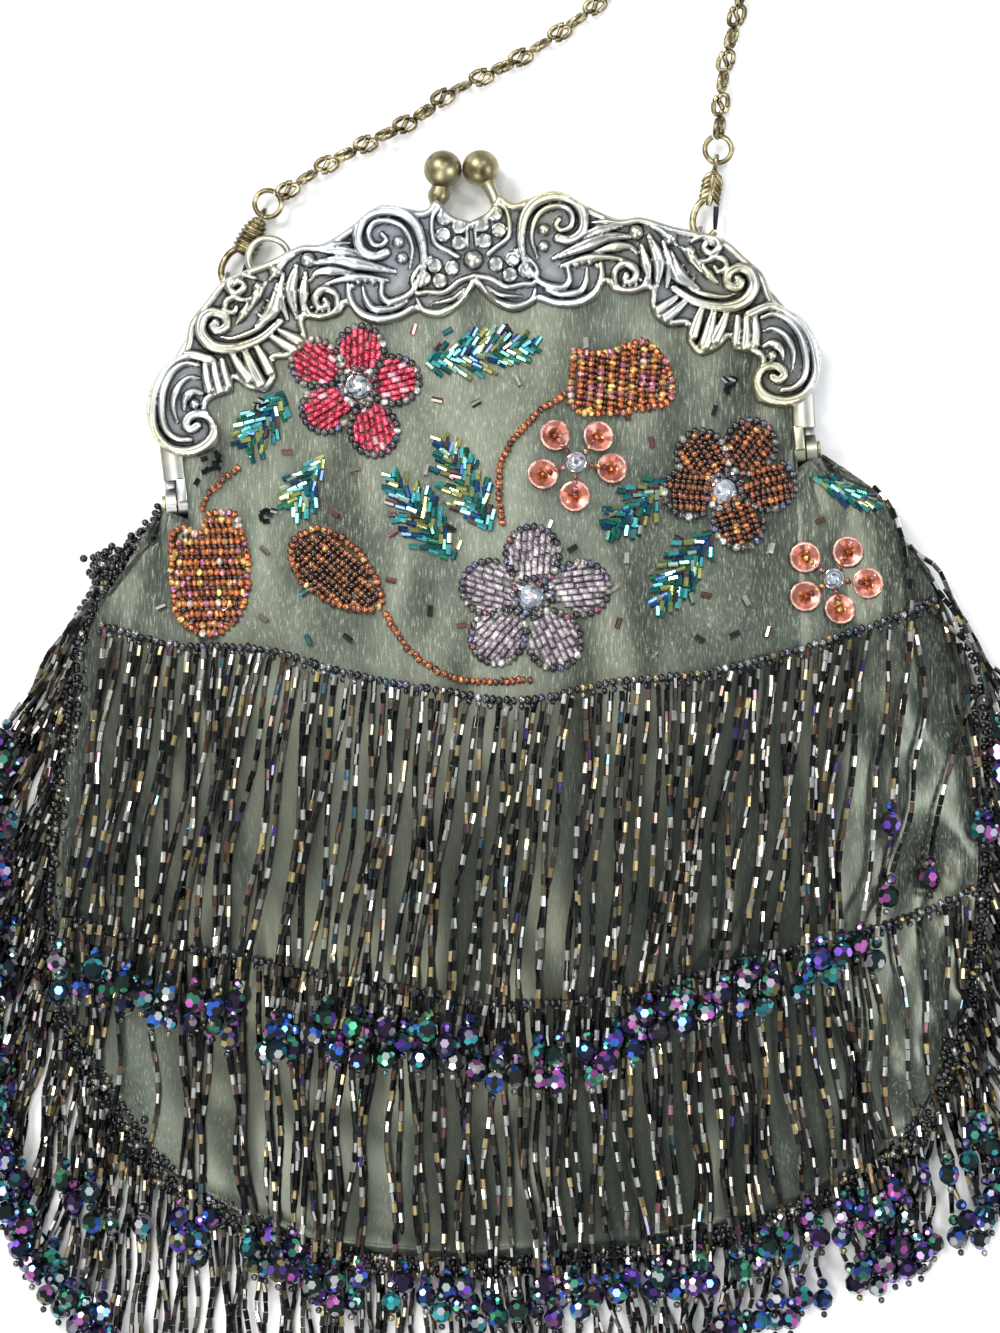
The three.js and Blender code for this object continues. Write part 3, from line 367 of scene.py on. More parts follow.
# Each ridge of the right half: its line, then its half-widths at the start, middle and end.
RIDGES = [
    ([(60.1, 31), (64.9, 32.4), (69.4, 30.6), (73, 25.6), (74.2, 19.6), (73.6, 15.2), (70.9, 11.9),
      (66.6, 10.9), (62.6, 12.2), (60.6, 14.8), (60.9, 17.6), (62.8, 19.1), (65.5, 18.8), (66.7, 17),
      (65.5, 15.9), (64.1, 16.6)],
     (0.9, 1.15, 0.8)),
    ([(62.8, 30), (65.6, 30.6), (68.8, 28.8), (71.2, 24.9), (71.9, 20.1), (71.2, 16.2), (68.8, 14),
      (66, 13.6)],
     (0.45, 0.85, 0.55)),
    ([(62.9, 27), (65.2, 27.4), (67.8, 25.4), (69.2, 21.8), (68.6, 17.8)], (0.3, 0.7, 0.3)),
    ([(62.6, 23.6), (64.6, 24.2), (66.4, 22.6), (66.8, 20.4)], (0.4, 0.9, 0.3)),
    ([(61.3, 30.4), (61.2, 27), (60.8, 24.4)], (0.6, 0.95, 1.0)),
    ([(59.4, 30.8), (59.2, 27.6), (58.6, 24)], (0.6, 0.95, 1.05)),
    ([(57.5, 30.6), (57.2, 28), (56.6, 25)], (0.6, 0.9, 0.95)),
    ([(55.2, 32), (53.8, 29), (52, 26)], (0.6, 1.0, 1.1)),
    ([(52.5, 32.9), (51.2, 29), (49.6, 25)], (0.6, 1.1, 1.25)),
    ([(49.7, 33.2), (48.4, 30.4), (47.2, 27.4)], (0.6, 0.95, 1.1)),
    ([(46.3, 35.1), (44, 33.4), (41.6, 31.8)], (0.6, 0.95, 1.05)),
    ([(44.1, 36), (42.2, 34.8), (40.2, 33.6)], (0.6, 0.9, 1.0)),
    ([(43.9, 38.1), (48.5, 34.7), (54.6, 33), (59.2, 33.9), (61.6, 36.9), (61, 40.2), (58.7, 41.4),
      (56.2, 40.3), (56, 38), (58, 37.2), (59, 38.3)], (0.7, 1.2, 0.8)),
    ([(45.4, 39.3), (49.5, 36.7), (54.5, 35.3), (57.3, 35.8)], (0.3, 0.6, 0.3)),
    ([(48.8, 43.9), (51.6, 43.6), (53.7, 44.3), (55.6, 43.4), (55.8, 41.6), (54, 41),
      (53.3, 42.1)], (0.4, 0.7, 0.5)),
    ([(49.4, 37.5), (45.3, 40.9), (43.8, 46.2)], (0.4, 1.5, 0.5)),
    ([(46.2, 47.2), (48.6, 44.4), (50.4, 41.2)], (0.3, 1.0, 0.3)),
    ([(50.6, 43), (51.8, 40.6), (53.6, 38.6)], (0.3, 0.9, 0.3)),
    ([(47.6, 38.8), (48.8, 40.4)], (0.5, 0.45, 0.2)),
    ([(46.2, 40.2), (47.6, 41.8)], (0.5, 0.45, 0.2)),
    ([(45.2, 42), (46.8, 43.4)], (0.5, 0.45, 0.2)),
    ([(48.6, 48.2), (51.6, 49.2), (54, 48.2), (54.6, 46.4), (53, 45.2), (51.3, 46.4), (52.1, 47.8),
      (53.3, 47.2)],
     (0.4, 0.85, 0.6)),
    ([(42.3, 48.6), (43.4, 43.6), (42.3, 38.6)], (0.4, 1.0, 0.4)),
    ([(39.3, 50.2), (41, 44.6), (40.2, 38.8)], (0.5, 1.35, 0.4)),
    ([(37.4, 48.4), (38.3, 43.6), (38.6, 39.4)], (0.4, 1.1, 0.3)),
    ([(39.9, 52.4), (42, 51.2), (45.4, 47.6)], (0.4, 0.8, 0.4)),
    ([(31.1, 40), (31.1, 43), (33.6, 44.5), (35.7, 42.8), (35.1, 40.6), (33.2, 40.7),
      (33.6, 42.1)], (0.5, 0.85, 0.6)),
    ([(38, 41.2), (37.2, 39.3), (34.7, 38.5), (32.2, 39), (31, 40.4)], (0.4, 0.65, 0.4)),
    ([(36.4, 46.6), (34.8, 48.2), (31.2, 48.4), (26.6, 47.4)], (0.3, 1.0, 0.4)),
    ([(17.6, 47), (24.2, 49), (30, 50.6), (35.2, 50.4)], (0.4, 1.35, 0.5)),
    ([(19.4, 45.2), (25, 46.4), (29.8, 46.2), (33.6, 45.4)], (0.4, 0.9, 0.3)),
    ([(23.6, 50.8), (28.4, 52.4), (33.4, 53)], (0.4, 1.15, 0.4)),
    ([(26.9, 54.2), (30.4, 54.1), (34.2, 53.2)], (0.3, 0.7, 0.3)),
    ([(12.2, 43.6), (11, 48.5), (11, 52.7), (12.2, 57.1), (15.1, 60), (19.4, 60.8), (23.4, 59.4),
      (25.2, 56), (24.6, 52.4), (21.8, 50.8), (19.2, 51.4)], (0.6, 1.15, 0.9)),
    ([(14.2, 47.6), (13.3, 52), (14.5, 56), (17.2, 58.2), (20.8, 58.4), (22.7, 56.4), (22.2, 53.8),
      (20.2, 53.1), (18.9, 54.2), (19.8, 55.6)], (0.3, 0.65, 0.5)),
    ([(28.2, 44.9), (28, 41.7), (26.3, 38.6), (22.5, 36.8), (17.6, 37.2),
      (14.2, 38.8)], (0.5, 0.95, 0.5)),
    ([(25, 44.1), (24.5, 41.3), (22.8, 39.1), (18.6, 38.9), (15.6, 40.2)], (0.35, 0.85, 0.4)),
    ([(20.7, 44.8), (20.9, 41.9), (19.3, 40.4), (16.3, 41), (14, 42.4), (12.4, 45)], (0.5, 0.8, 0.5)),
    ([(6.6, 60.4), (8.4, 58), (8.3, 52.9), (5.4, 50.6), (3.4, 49.2)], (0.4, 0.5, 0.5)),
    ([(0.9, 55.8), (1, 51.4)], (0.35, 0.4, 0.35)),
    ([(9.4, 49.6), (12, 47.6), (13.9, 45), (13.2, 42), (10.6, 41.9), (6.9, 41.6), (3.5, 43.7), (0, 44.6)],
     (0.4, 0.55, 0.55)),
    ([(1.2, 42.6), (3.3, 39.2), (7.9, 37.1), (12, 38.1), (13.2, 40.4)], (0.4, 0.85, 0.4)),
    ([(2.6, 42), (5.4, 39.9), (10, 39.2)], (0.25, 0.5, 0.25)),
]
# Round bosses of the right half: place and radius. The first eight are the flat grapes.
BOSSES = [
    (5.7, 58, 1.75), (2.5, 55.8, 1.75), (6.2, 54.3, 1.75), (2.9, 52.2, 1.75), (4.9, 46.8, 1.75),
    (8.7, 47.6, 1.75), (7.8, 44.2, 1.75), (11.3, 45, 1.75), (64.4, 21.4, 1.2), (58.2, 39, 1.2),
    (44, 49.3, 1.6), (48.1, 46, 1.4), (36.6, 51.2, 1.7), (33.6, 41.9, 0.9), (36.7, 40.6, 0.55),
    (35.6, 39.8, 0.55), (34.2, 39.6, 0.55), (32.9, 39.8, 0.55), (16.2, 53.6, 1.3), (15.8, 49.9, 1.3),
    (27.3, 44.6, 0.75), (25.8, 45.5, 0.75), (24.2, 45.7, 0.75), (22.6, 45.2, 0.75), (60.4, 16.4, 0.5),
    (59.9, 15, 0.5), (60.2, 13.6, 0.5),
]
MIDDLE_BOSS, GRAPES = (0, 48.2, 2.1), 8
# How the stamping rises: its rolled border, its ridges, the vein down the widest of them, its bosses, and
# the grapes, which are cut off flat, lean this way and that, and have a raised rim.
BORDER_RISE, BORDER_HALF = 0.65, 0.8
RIDGE_FULL, RIDGE_RISE, RIDGE_STEEP, RIDGE_CROWN = 1.3, 0.35, 0.8, 0.52
VEIN_DEEP, VEIN_FROM, VEIN_RANGE, VEIN_OFF, VEIN_HALF = 0.4, 1.1, 0.5, 0.1, 0.2
BOSS_RISE, BOSS_STEEP = 0.35, 0.7
GRAPE_TOP, GRAPE_LEAN, GRAPE_TURN = 0.55, 0.16, 2.4
GRAPE_RIM, GRAPE_RIM_AT, GRAPE_RIM_HALF = 0.3, 0.8, 0.14
# The plating's "relief" runs from 0 in the dark hollows to 1 on the rubbed ridges.
PLAIN_PLATE, EVEN_PLATE, RUBBED, GROUND_DARK, BLUR_STEPS = 0.62, 0.5, 0.5, 0.07, 3
LOOP_CENTRE, LOOP_ROUND, LOOP_WIRE, LOOP_STEPS = (-45.4, 52.4, 9.3), 4.6, 0.75, 33
CLASP_PLACES = dict(
    left=Matrix.Translation((-56.65, 137.32, 2.6)) @ Matrix.Rotation(math.radians(-26.75), 4, "Z"),
    right=Matrix.Translation((45.09, 149.245, 2.6)) @ Matrix.Rotation(math.radians(-9.79), 4, "Z"),
)
EYE_PLACE, EYE_ROUND, EYE_WIRE, EYE_STEM, EYE_STEM_LONG = (-0.9, -17, 0), 1.95, 0.55, 0.8, 4
RING_STEPS = 29
# Each ball of the lock: its middle, radius and foot, its neck's radii and how far the brass reaches.
LEFT_BALL = dict(ball=(-5.1, 69.4, 5.8), radius=4.24, foot=(-8.6, 54.5, 3.4), brass=7.8,
                 neck=(1.9, 2.0, 2.5, 2.45, 1.9, 1.6, 2.1, 1.7, 2.1, 1.7, 1.9, 1.9))
RIGHT_BALL = dict(ball=(3.35, 68.9, 5.8), radius=4.14, foot=(8.6, 54.5, 8.2), brass=4.5,
                  neck=(1.9, 1.6, 1.4, 1.3, 1.4, 1.6, 1.5, 1.4, 1.4, 1.4))


def edges_of(verts):
    """All edges that meet at these vertices."""
    return list({e for v in verts for e in v.link_edges})


def extruded(bm, edges):
    """Draws edges out; gives the new vertices and the edges between them."""
    drawn = bmesh.ops.extrude_edge_only(bm, edges=edges)["geom"]
    fresh = [g for g in drawn if isinstance(g, bmesh.types.BMVert)]
    among = set(fresh)
    return fresh, [g for g in drawn if isinstance(g, bmesh.types.BMEdge) and among.issuperset(g.verts)]


def run_along(bm, line, wide, tall=None, section=None, sides=8):
    """A ring drawn along a line and stretched at each step: a wire, a tapering ridge or a channel."""
    line = [Vector(p) for p in line]
    wide = np.broadcast_to(np.asarray(wide, float), len(line))
    tall = wide if tall is None else tall
    places = []
    for i, spot in enumerate(line):
        ahead = (line[min(i + 1, len(line) - 1)] - line[max(i - 1, 0)]).normalized()
        across = ahead.cross(UP if abs(ahead.z) < 0.98 else Vector((1, 0, 0))).normalized()
        over = across.cross(ahead)
        turned = Matrix((across * wide[i], over * tall[i], ahead)).transposed().to_4x4()
        places.append(Matrix.Translation(spot) @ turned)
    if section:
        ring = [bm.verts.new(places[0] @ Vector((*p, 0))) for p in section]
        edges = [bm.edges.new((a, b)) for a, b in zip(ring, ring[1:] + ring[:1])]
    else:
        ring = bmesh.ops.create_circle(bm, segments=sides, radius=1, matrix=places[0])["verts"]
        edges = edges_of(ring)
    ends = list(edges)
    made = list(ring)
    for before, here in zip(places, places[1:]):
        ring, edges = extruded(bm, edges)
        bmesh.ops.transform(bm, matrix=here @ before.inverted(), verts=ring)
        made += ring
    bmesh.ops.holes_fill(bm, edges=ends + edges, sides=0)
    return made


def arc(centre, radius, turns):
    """Points round a centre at these angles."""
    x, y, z = centre
    return [(x + radius * math.cos(a), y + radius * math.sin(a), z) for a in turns]


def wire_ring(bm, radius, wire):
    """A closed ring of round wire standing on edge about the origin."""
    made = run_along(bm, arc((0, 0, 0), radius, np.linspace(0, 2 * math.pi, RING_STEPS)), wire)
    bmesh.ops.transform(bm, matrix=Matrix.Rotation(math.pi / 2, 4, "Y"), verts=made)
    return made


def block(bm, low, high, soft):
    """A rectangular bar between two corners with softened edges."""
    low, high = Vector(low), Vector(high)
    size = Matrix.Diagonal((*(high - low), 1))
    made = bmesh.ops.create_cube(bm, size=1, matrix=Matrix.Translation((low + high) / 2) @ size)["verts"]
    bmesh.ops.bevel(bm, geom=edges_of(made), offset=soft, affect="EDGES", segments=2, profile=0.5,
                    material=-1)


def channel_half(bm, heights, ear):
    """One arched channel with its slot on the inside, and an ear with a round knuckle at each end."""
    low, slot_low, slot_high, high = heights
    section = [(BAR, low), (BAR, slot_low), (-SLOT_DEPTH, slot_low), (-SLOT_DEPTH, slot_high),
               (BAR, slot_high), (BAR, high - BAR_SOFT), (BAR - BAR_SOFT, high), (BAR_SOFT - BAR, high),
               (-BAR, high - BAR_SOFT), (-BAR, low)]
    run_along(bm, [(x, y, 0) for x, y in ARCH_LINE], 1, section=section)
    for mirror in (-1, 1):
        near, far = sorted(mirror * x for x in ear)
        block(bm, (near, 0, low), (far, EAR_LONG, high), EAR_SOFT)
        middle = Matrix.Translation(((near + far) / 2, 0, PIN_HEIGHT))
        bmesh.ops.create_cone(bm, cap_ends=True, segments=24, radius1=EAR_ROUND, radius2=EAR_ROUND,
                              depth=far - near, matrix=middle @ Matrix.Rotation(math.pi / 2, 4, "Y"))


def kiss_ball(bm, ball, radius, foot, brass, neck):
    """A brass ball and collar, which take the second finish, on a turned silver neck."""
    old = set(bm.faces)
    start, end = Vector(ball), Vector(foot)
    bmesh.ops.create_uvsphere(bm, u_segments=28, v_segments=18, radius=radius,
                              matrix=Matrix.Translation(start))
    line = [start.lerp(end, 0.2 + 0.8 * i / (len(neck) - 1)) for i in range(len(neck))]
    run_along(bm, line, neck, sides=14)
    for face in set(bm.faces) - old:
        if (face.calc_center_median() - start).length < brass:
            face.material_index = 1


def stamped_height(x, y, edge):
    """How far the stamping stands over its ground: a rolled border, round bands, grapes and bosses."""
    rise = BORDER_RISE * np.clip(1 - ((edge - BORDER_HALF) / BORDER_HALF) ** 2, 0, None) ** 0.5
    for points, widths in RIDGES:
        line = smooth_line(points, 9 * len(points))
        half = RIDGE_FULL * np.interp(np.linspace(0, 1, len(line)), (0, 0.5, 1), widths)
        near = np.all((np.abs(np.stack([x, y]) - line.mean(axis=0)[:, None, None])
                       < (np.ptp(line, axis=0) + 5)[:, None, None]), axis=0)
        far = np.hypot(x[near][:, None] - line[:, 0], y[near][:, None] - line[:, 1]) / half
        drawn = (RIDGE_RISE + RIDGE_STEEP * half) * np.clip(1 - far**2, 0, None) ** RIDGE_CROWN
        deep = VEIN_DEEP * np.clip(half.max() - VEIN_FROM, 0, VEIN_RANGE) / VEIN_RANGE
        vein = deep * np.exp(-((far.min(axis=1) - VEIN_OFF) / VEIN_HALF) ** 2)
        rise[near] = np.maximum(rise[near], drawn.max(axis=1) - vein)
    for i, (bx, by, radius) in enumerate([*BOSSES, MIDDLE_BOSS]):
        far = np.hypot(x - bx, y - by) / radius
        raised = (BOSS_RISE + BOSS_STEEP * radius) * np.clip(1 - far**2, 0, None) ** 0.5
        if i < GRAPES:
            turn = GRAPE_TURN * i
            lean = GRAPE_LEAN * ((x - bx) * math.cos(turn) + (y - by) * math.sin(turn))
            rim = GRAPE_RIM * np.exp(-((far - GRAPE_RIM_AT) / GRAPE_RIM_HALF) ** 2)
            raised = np.where(far < 1, np.minimum(raised, GRAPE_TOP + lean + rim), 0)
        rise = np.maximum(rise, raised)
    return rise


def blurred(field, reach):
    """A field smoothed over this many steps each way."""
    steps = np.arange(-3 * reach, 3 * reach + 1)
    share = np.exp(-0.5 * (steps / reach) ** 2)
    share /= share.sum()

    def smoothed(run):
        return np.convolve(np.pad(run, 3 * reach, "edge"), share, "valid")

    return np.apply_along_axis(smoothed, 1, np.apply_along_axis(smoothed, 0, field))


def nearest_among(points):
    """Points in the plane, ready to be searched for the one nearest to a place."""
    tree = KDTree(len(points))
    for i, spot in enumerate(points):
        tree.insert((*spot, 0), i)
    tree.balance()
    return tree


def stamped_plate(bm, relief):
    """A sheet cut to the plate's outline and pressed into relief, with a turned-down edge."""
    half = smooth_line(PLATE_HALF, OUTLINE_STEPS)
    outline = np.vstack([half, half[-2:0:-1] * (-1, 1)])
    columns = 2 * round(PLATE_REACH / STAMP_STEP)
    rows = round((PLATE_HIGH - PLATE_DEEP) / STAMP_STEP)
    x, y = np.meshgrid(np.linspace(0, PLATE_REACH, columns // 2 + 1),
                       np.linspace(PLATE_DEEP, PLATE_HIGH, rows + 1))
    edge = np.array([np.hypot(row_x[:, None] - half[:, 0], row_y[:, None] - half[:, 1]).min(axis=1)
                     for row_x, row_y in zip(x, y)])
    ends = np.roll(outline, -1, axis=0)
    inside = np.zeros(x.shape, bool)
    for (ax, ay), (bx, by) in zip(outline, ends):
        if ay != by:
            inside ^= ((ay > y) != (by > y)) & (x < ax + (y - ay) / (by - ay) * (bx - ax))
    rise = np.where(inside, stamped_height(x, y, edge), -0.8)
    proud = rise - blurred(rise, BLUR_STEPS)
    mark = np.clip(EVEN_PLATE + RUBBED * proud - GROUND_DARK * (rise < 0.05), 0, 1)
    full = {name: np.hstack([field[:, :0:-1], field]) for name, field in
            dict(rise=rise, mark=mark, inside=inside).items()}

    grid = bmesh.ops.create_grid(bm, x_segments=columns, y_segments=rows, size=1)["verts"]
    outer = []
    for v in grid:
        column, row = round((v.co.x + 1) / 2 * columns), round((v.co.y + 1) / 2 * rows)
        height = PLATE_GROUND + max(0, full["rise"][row, column])
        v.co = (v.co.x * PLATE_REACH, PLATE_DEEP + row * STAMP_STEP, height)
        v[relief] = full["mark"][row, column]
        if not full["inside"][row, column]:
            outer.append(v)
    bmesh.ops.delete(bm, geom=outer, context="VERTS")
    edge_places = nearest_among(outline)
    rim = [e for v in grid if v.is_valid for e in v.link_edges if e.is_boundary]
    for v in {v for e in rim for v in e.verts}:
        v.co = (*edge_places.find((v.co.x, v.co.y, 0))[0].xy, PLATE_GROUND)
    low, edges = extruded(bm, list(set(rim)))
    for v in low:
        v.co.z = PLATE_LOW
    bmesh.ops.holes_fill(bm, sides=0, edges=edges)


def to_bag(bm, place):
    """Turns a shape's faces outwards and moves it from millimetres to its place on the bag."""
    bmesh.ops.recalc_face_normals(bm, faces=bm.faces)
    bmesh.ops.transform(bm, matrix=Matrix.Scale(MM, 4) @ place, verts=bm.verts)


silver, tree, shader = finish("antique silver plate", Metallic=1.0)
relief = add_node(tree, "Attribute", {}, attribute_name="relief").outputs["Fac"]
patina = grain(tree, 240, detail=6)
worn = add_node(tree, "Mix", {0: 0.14, 2: relief, 3: patina}).outputs[0]
cool = ramp(tree, worn, [(0.22, paint(44, 46, 50)), (0.43, paint(102, 106, 112)),
                         (0.54, paint(170, 174, 180)), (0.8, paint(202, 204, 204))])
warm = ramp(tree, worn, [(0.22, paint(44, 44, 40)), (0.43, paint(100, 101, 96)),
                         (0.54, paint(168, 167, 150)), (0.8, paint(204, 198, 160))])
brassed = ramp(tree, grain(tree, 34, detail=3), [(0.4, (0, 0, 0)), (0.62, (1, 1, 1))])
plating = add_node(tree, "Mix", {0: brassed, 6: cool, 7: warm}, data_type="RGBA").outputs[2]
tree.links.new(plating, shader.inputs["Base Color"])
roughened(tree, shader, patina, 0.26, 0.46)
bumped(tree, shader, grain(tree, 900, detail=3), 0.05 * MM, 0.35)


def aged_brass(name, patches, pits, stops, low, high):
    """Brass whose colour and gloss change in patches, finely pitted."""
    made, tree, shader = finish(name, Metallic=1.0)
    tarnish = grain(tree, patches, detail=6)
    tree.links.new(ramp(tree, tarnish, stops), shader.inputs["Base Color"])
    roughened(tree, shader, tarnish, low, high)
    bumped(tree, shader, grain(tree, pits, detail=3), 0.04 * MM, 0.35)
    return made


brass = aged_brass("antique brass", 190, 700, [(0.3, paint(84, 78, 58)), (0.5, paint(144, 136, 106)),
                                               (0.72, paint(196, 188, 152))], 0.32, 0.46)

bm = bmesh.new()
relief = bm.verts.layers.float.new("relief")
channel_half(bm, FRONT_BAR, FRONT_EAR)
run_along(bm, arc(LOOP_CENTRE, LOOP_ROUND, np.linspace(-0.5, math.pi + 0.5, LOOP_STEPS)), LOOP_WIRE)
kiss_ball(bm, **RIGHT_BALL)
for v in bm.verts:
    v[relief] = PLAIN_PLATE
stamped_plate(bm, relief)
to_bag(bm, FRAME_PLACE)
piece("stamped_front_frame", bm, [silver, brass], ["front_frame"], smooth=50)

bm = bmesh.new()
relief = bm.verts.layers.float.new("relief")
channel_half(bm, BACK_BAR, BACK_EAR)
kiss_ball(bm, **LEFT_BALL)
bmesh.ops.transform(bm, matrix=FRAME_PLACE, verts=bm.verts)
for place in CLASP_PLACES.values():
    eye = wire_ring(bm, EYE_ROUND, EYE_WIRE)
    eye += run_along(bm, [(0, -EYE_ROUND, 0), (0, -EYE_ROUND - EYE_STEM_LONG, 0)], EYE_STEM)
    bmesh.ops.transform(bm, matrix=place @ Matrix.Translation(EYE_PLACE), verts=eye)
to_bag(bm, Matrix())
for v in bm.verts:
    v[relief] = PLAIN_PLATE
piece("plain_back_frame", bm, [silver, brass], ["back_frame"], smooth=50)

# Hinge rivets
# A brass rivet goes through the ears of both halves at each side, so that the frame can open on it. Its
# ends are peened over into flat heads. The two rivets keep their CAD shape.
for name in ("left_hinge_pin", "right_hinge_pin"):
    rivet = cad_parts[name]
    rivet.data.materials.clear()
    rivet.data.materials.append(brass)

# Chain
# A shoulder chain of flat S-shaped wire links in antique brass. Each link is hooked through the next one's
# eye, most of a quarter turn round, and the chain lies on the table from one clasp to the other.
CHAIN_ROUTE = [
    (-53, 141.6), (-48.9, 144.4), (-40.7, 149.6), (-22.7, 158.9), (-14.4, 164.9), (2.2, 173.3),
    (18, 184.4), (25, 193), (27, 206), (24, 224), (22, 244), (27, 262), (39, 271), (52, 268), (60, 256),
    (61, 240), (57, 222), (53, 204), (50.2, 184.4), (46.9, 169.8), (45.7, 155),
]
CHAIN_HEIGHT, LINK_PITCH = 2.5, 5.0
LINK_WIRE, LINK_STEPS = 0.58, 48
LINK_TURN, TURN_PLAY = 1.0, 0.15
ROUTE_STEPS, LOOK_AHEAD = 600, 6
# Half a link, from its middle round one end and back down its outer side.
LINK_CURL = [(-0.32, 0.5), (-0.45, 1.2), (-0.1, 2.0), (0.6, 2.3), (1.3, 1.9), (1.56, 0.9), (1.52, -0.3),
             (1.25, -1.2), (0.9, -1.75)]
# Weights that make one number of a place, to sort by.
SORT_BY = (1, 1e4, 1e8)
old_brass = aged_brass("darkened brass", 420, 900, [(0.3, paint(58, 51, 36)), (0.5, paint(122, 112, 84)),
                                                    (0.7, paint(200, 190, 154))], 0.26, 0.44)


def in_order(bm):
    """Sorts a small mesh by place, since the operators that draw edges out leave it in any order."""
    bm.verts.sort(key=lambda v: np.round(v.co, 3) @ SORT_BY)
    bm.faces.sort(key=lambda f: np.round(f.calc_center_median(), 3) @ SORT_BY)


def shape_of(bm, smooth):
    """A small mesh as arrays that can be copied many times."""
    bm.verts.index_update()
    made = dict(points=np.array([v.co[:] for v in bm.verts]), smooth=smooth,
                corners=np.array([v.index for f in bm.faces for v in f.verts]),
                counts=np.array([len(f.verts) for f in bm.faces]))
    bm.free()
    return made


def placed(spot, along, thick, long, turn=0.0):
    """Where a copy goes: its two cross axes, its long axis and its place, in millimetres."""
    along = Vector(along).normalized()
    across = along.cross(UP if abs(along.z) < 0.95 else Vector((1, 0, 0))).normalized()
    over = across.cross(along)
    side = across * math.cos(turn) + over * math.sin(turn)
    return np.array([side * thick, side.cross(along) * thick, along * long, spot])


def threaded(name, copies, finishes, nodes):
    """Joins copies, each (shape, place, tint), into one piece whose corners carry their tints."""
    points = np.vstack([shape["points"] @ place[:3] + place[3] for shape, place, _ in copies]) * MM
    firsts = np.concatenate([[0], np.cumsum([len(shape["points"]) for shape, _, _ in copies])])
    corners = np.concatenate([shape["corners"] + first for (shape, _, _), first in zip(copies, firsts)])
    counts = np.concatenate([shape["counts"] for shape, _, _ in copies])
    tints = np.vstack([np.repeat(np.broadcast_to(tint, (len(shape["counts"]), 3)), shape["counts"], axis=0)
                       for shape, _, tint in copies])
    mesh = bpy.data.meshes.new(name)
    mesh.vertices.add(len(points))
    mesh.vertices.foreach_set("co", points.ravel().astype(np.float32))
    mesh.loops.add(len(corners))
    mesh.loops.foreach_set("vertex_index", corners.astype(np.int32))
    mesh.polygons.add(len(counts))
    mesh.polygons.foreach_set("loop_start", np.concatenate([[0], np.cumsum(counts)[:-1]]).astype(np.int32))
    mesh.polygons.foreach_set("use_smooth", np.concatenate(
        [np.full(len(shape["counts"]), shape["smooth"]) for shape, _, _ in copies]))
    mesh.update(calc_edges=True)
    mesh.attributes.new("tint", "FLOAT_COLOR", "CORNER").data.foreach_set(
        "color", np.column_stack([tints, np.ones(len(tints))]).ravel().astype(np.float32))
    put_in(name, mesh, finishes, nodes)


line = smooth_line([*LINK_CURL[::-1], (0, 0), *((-x, -y) for x, y in LINK_CURL)], LINK_STEPS)
bm = bmesh.new()
run_along(bm, [(x, 0, y) for x, y in line], LINK_WIRE, sides=6)
bmesh.ops.recalc_face_normals(bm, faces=bm.faces)
link = shape_of(bm, True)
rng = np.random.default_rng(5)
route = smooth_line(CHAIN_ROUTE, ROUTE_STEPS)
walked = walk(route)
links = round(walked[-1] / LINK_PITCH)
copies = []
for i in range(links):
    at = np.searchsorted(walked, (i + 0.5) / links * walked[-1])
    ahead = route[min(at + LOOK_AHEAD, ROUTE_STEPS - 1)] - route[max(at - LOOK_AHEAD, 0)]
    turn = (i % 2) * LINK_TURN + rng.uniform(-TURN_PLAY, TURN_PLAY)
    copies.append((link, placed((*route[at], CHAIN_HEIGHT), (*ahead, 0), 1, 1, turn), (1, 1, 1)))
threaded("chain_links", copies, [old_brass], ["chain"])

# Clasps
# Two brass hooks hold the chain to the frame, each with a split ring and an eye at its top and a wire hook
# through an eye on the back half. The left one's body is wound wire and the right one's a cast feather, and
# a sprung gate of blued steel shuts each hook and turns on its body.
SPLIT_ROUND, SPLIT_WIRE, SPLIT_STEPS, CLASP_HEIGHT = 3.0, 0.6, 41, 2.6
SPLIT_GAP, SPLIT_TURN = 0.5, 0.965
# Each split ring's middle, and the angle of its gap.
SPLIT_RINGS = dict(left=((-55.3, 140.0), 0.602), right=((45.6, 152.2), 1.52))
TOP_EYE, TOP_EYE_WIRE = 1.5, 0.5
HOOK = [(-1.3, -8.6), (-2.7, -11), (-2.9, -14), (-1.9, -16.3), (-0.2, -17.2), (1.5, -16.7), (2.4, -15.3)]
HOOK_WIRE, HOOK_STEPS = 0.8, 30
COIL_RADII, COILS = (1.4, 2.2, 2.7, 2.9, 3.0, 3.1, 3.1, 2.5), 8
COIL_TOP, COIL_LONG, COIL_STEPS, COIL_GROOVE, COIL_FLAT = -0.8, 9, 85, 0.2, 0.75
QUILL_RADII = (0.6, 0.8, 1.0, 1.1, 1.1, 1.0, 0.9, 0.8, 0.6)
QUILL_TOP, QUILL_STEP = -1.4, 1.05
BARBS, BARB_TOP, BARB_STEP = 5, -2.2, 1.15
BARB_WIDE, BARB_TALL = (0.5, 0.7, 0.25), (0.4, 0.6, 0.3)
GATE = [(1.75, -9.7, 0), (1.95, -11.4, 0), (2.15, -13.2, 0), (2.35, -14.9, 0)]
GATE_WIDE, GATE_TALL = (0.6, 0.62, 0.55, 0.4), (0.6, 0.62, 0.6, 0.5)
blued, tree, shader = finish("blued steel", Metallic=1.0)
scuff = grain(tree, 320, (1, 0.3, 1), 5)
tree.links.new(ramp(tree, scuff, [(0.35, paint(26, 29, 36)), (0.7, paint(58, 62, 72))]),
               shader.inputs["Base Color"])
roughened(tree, shader, scuff, 0.25, 0.4)
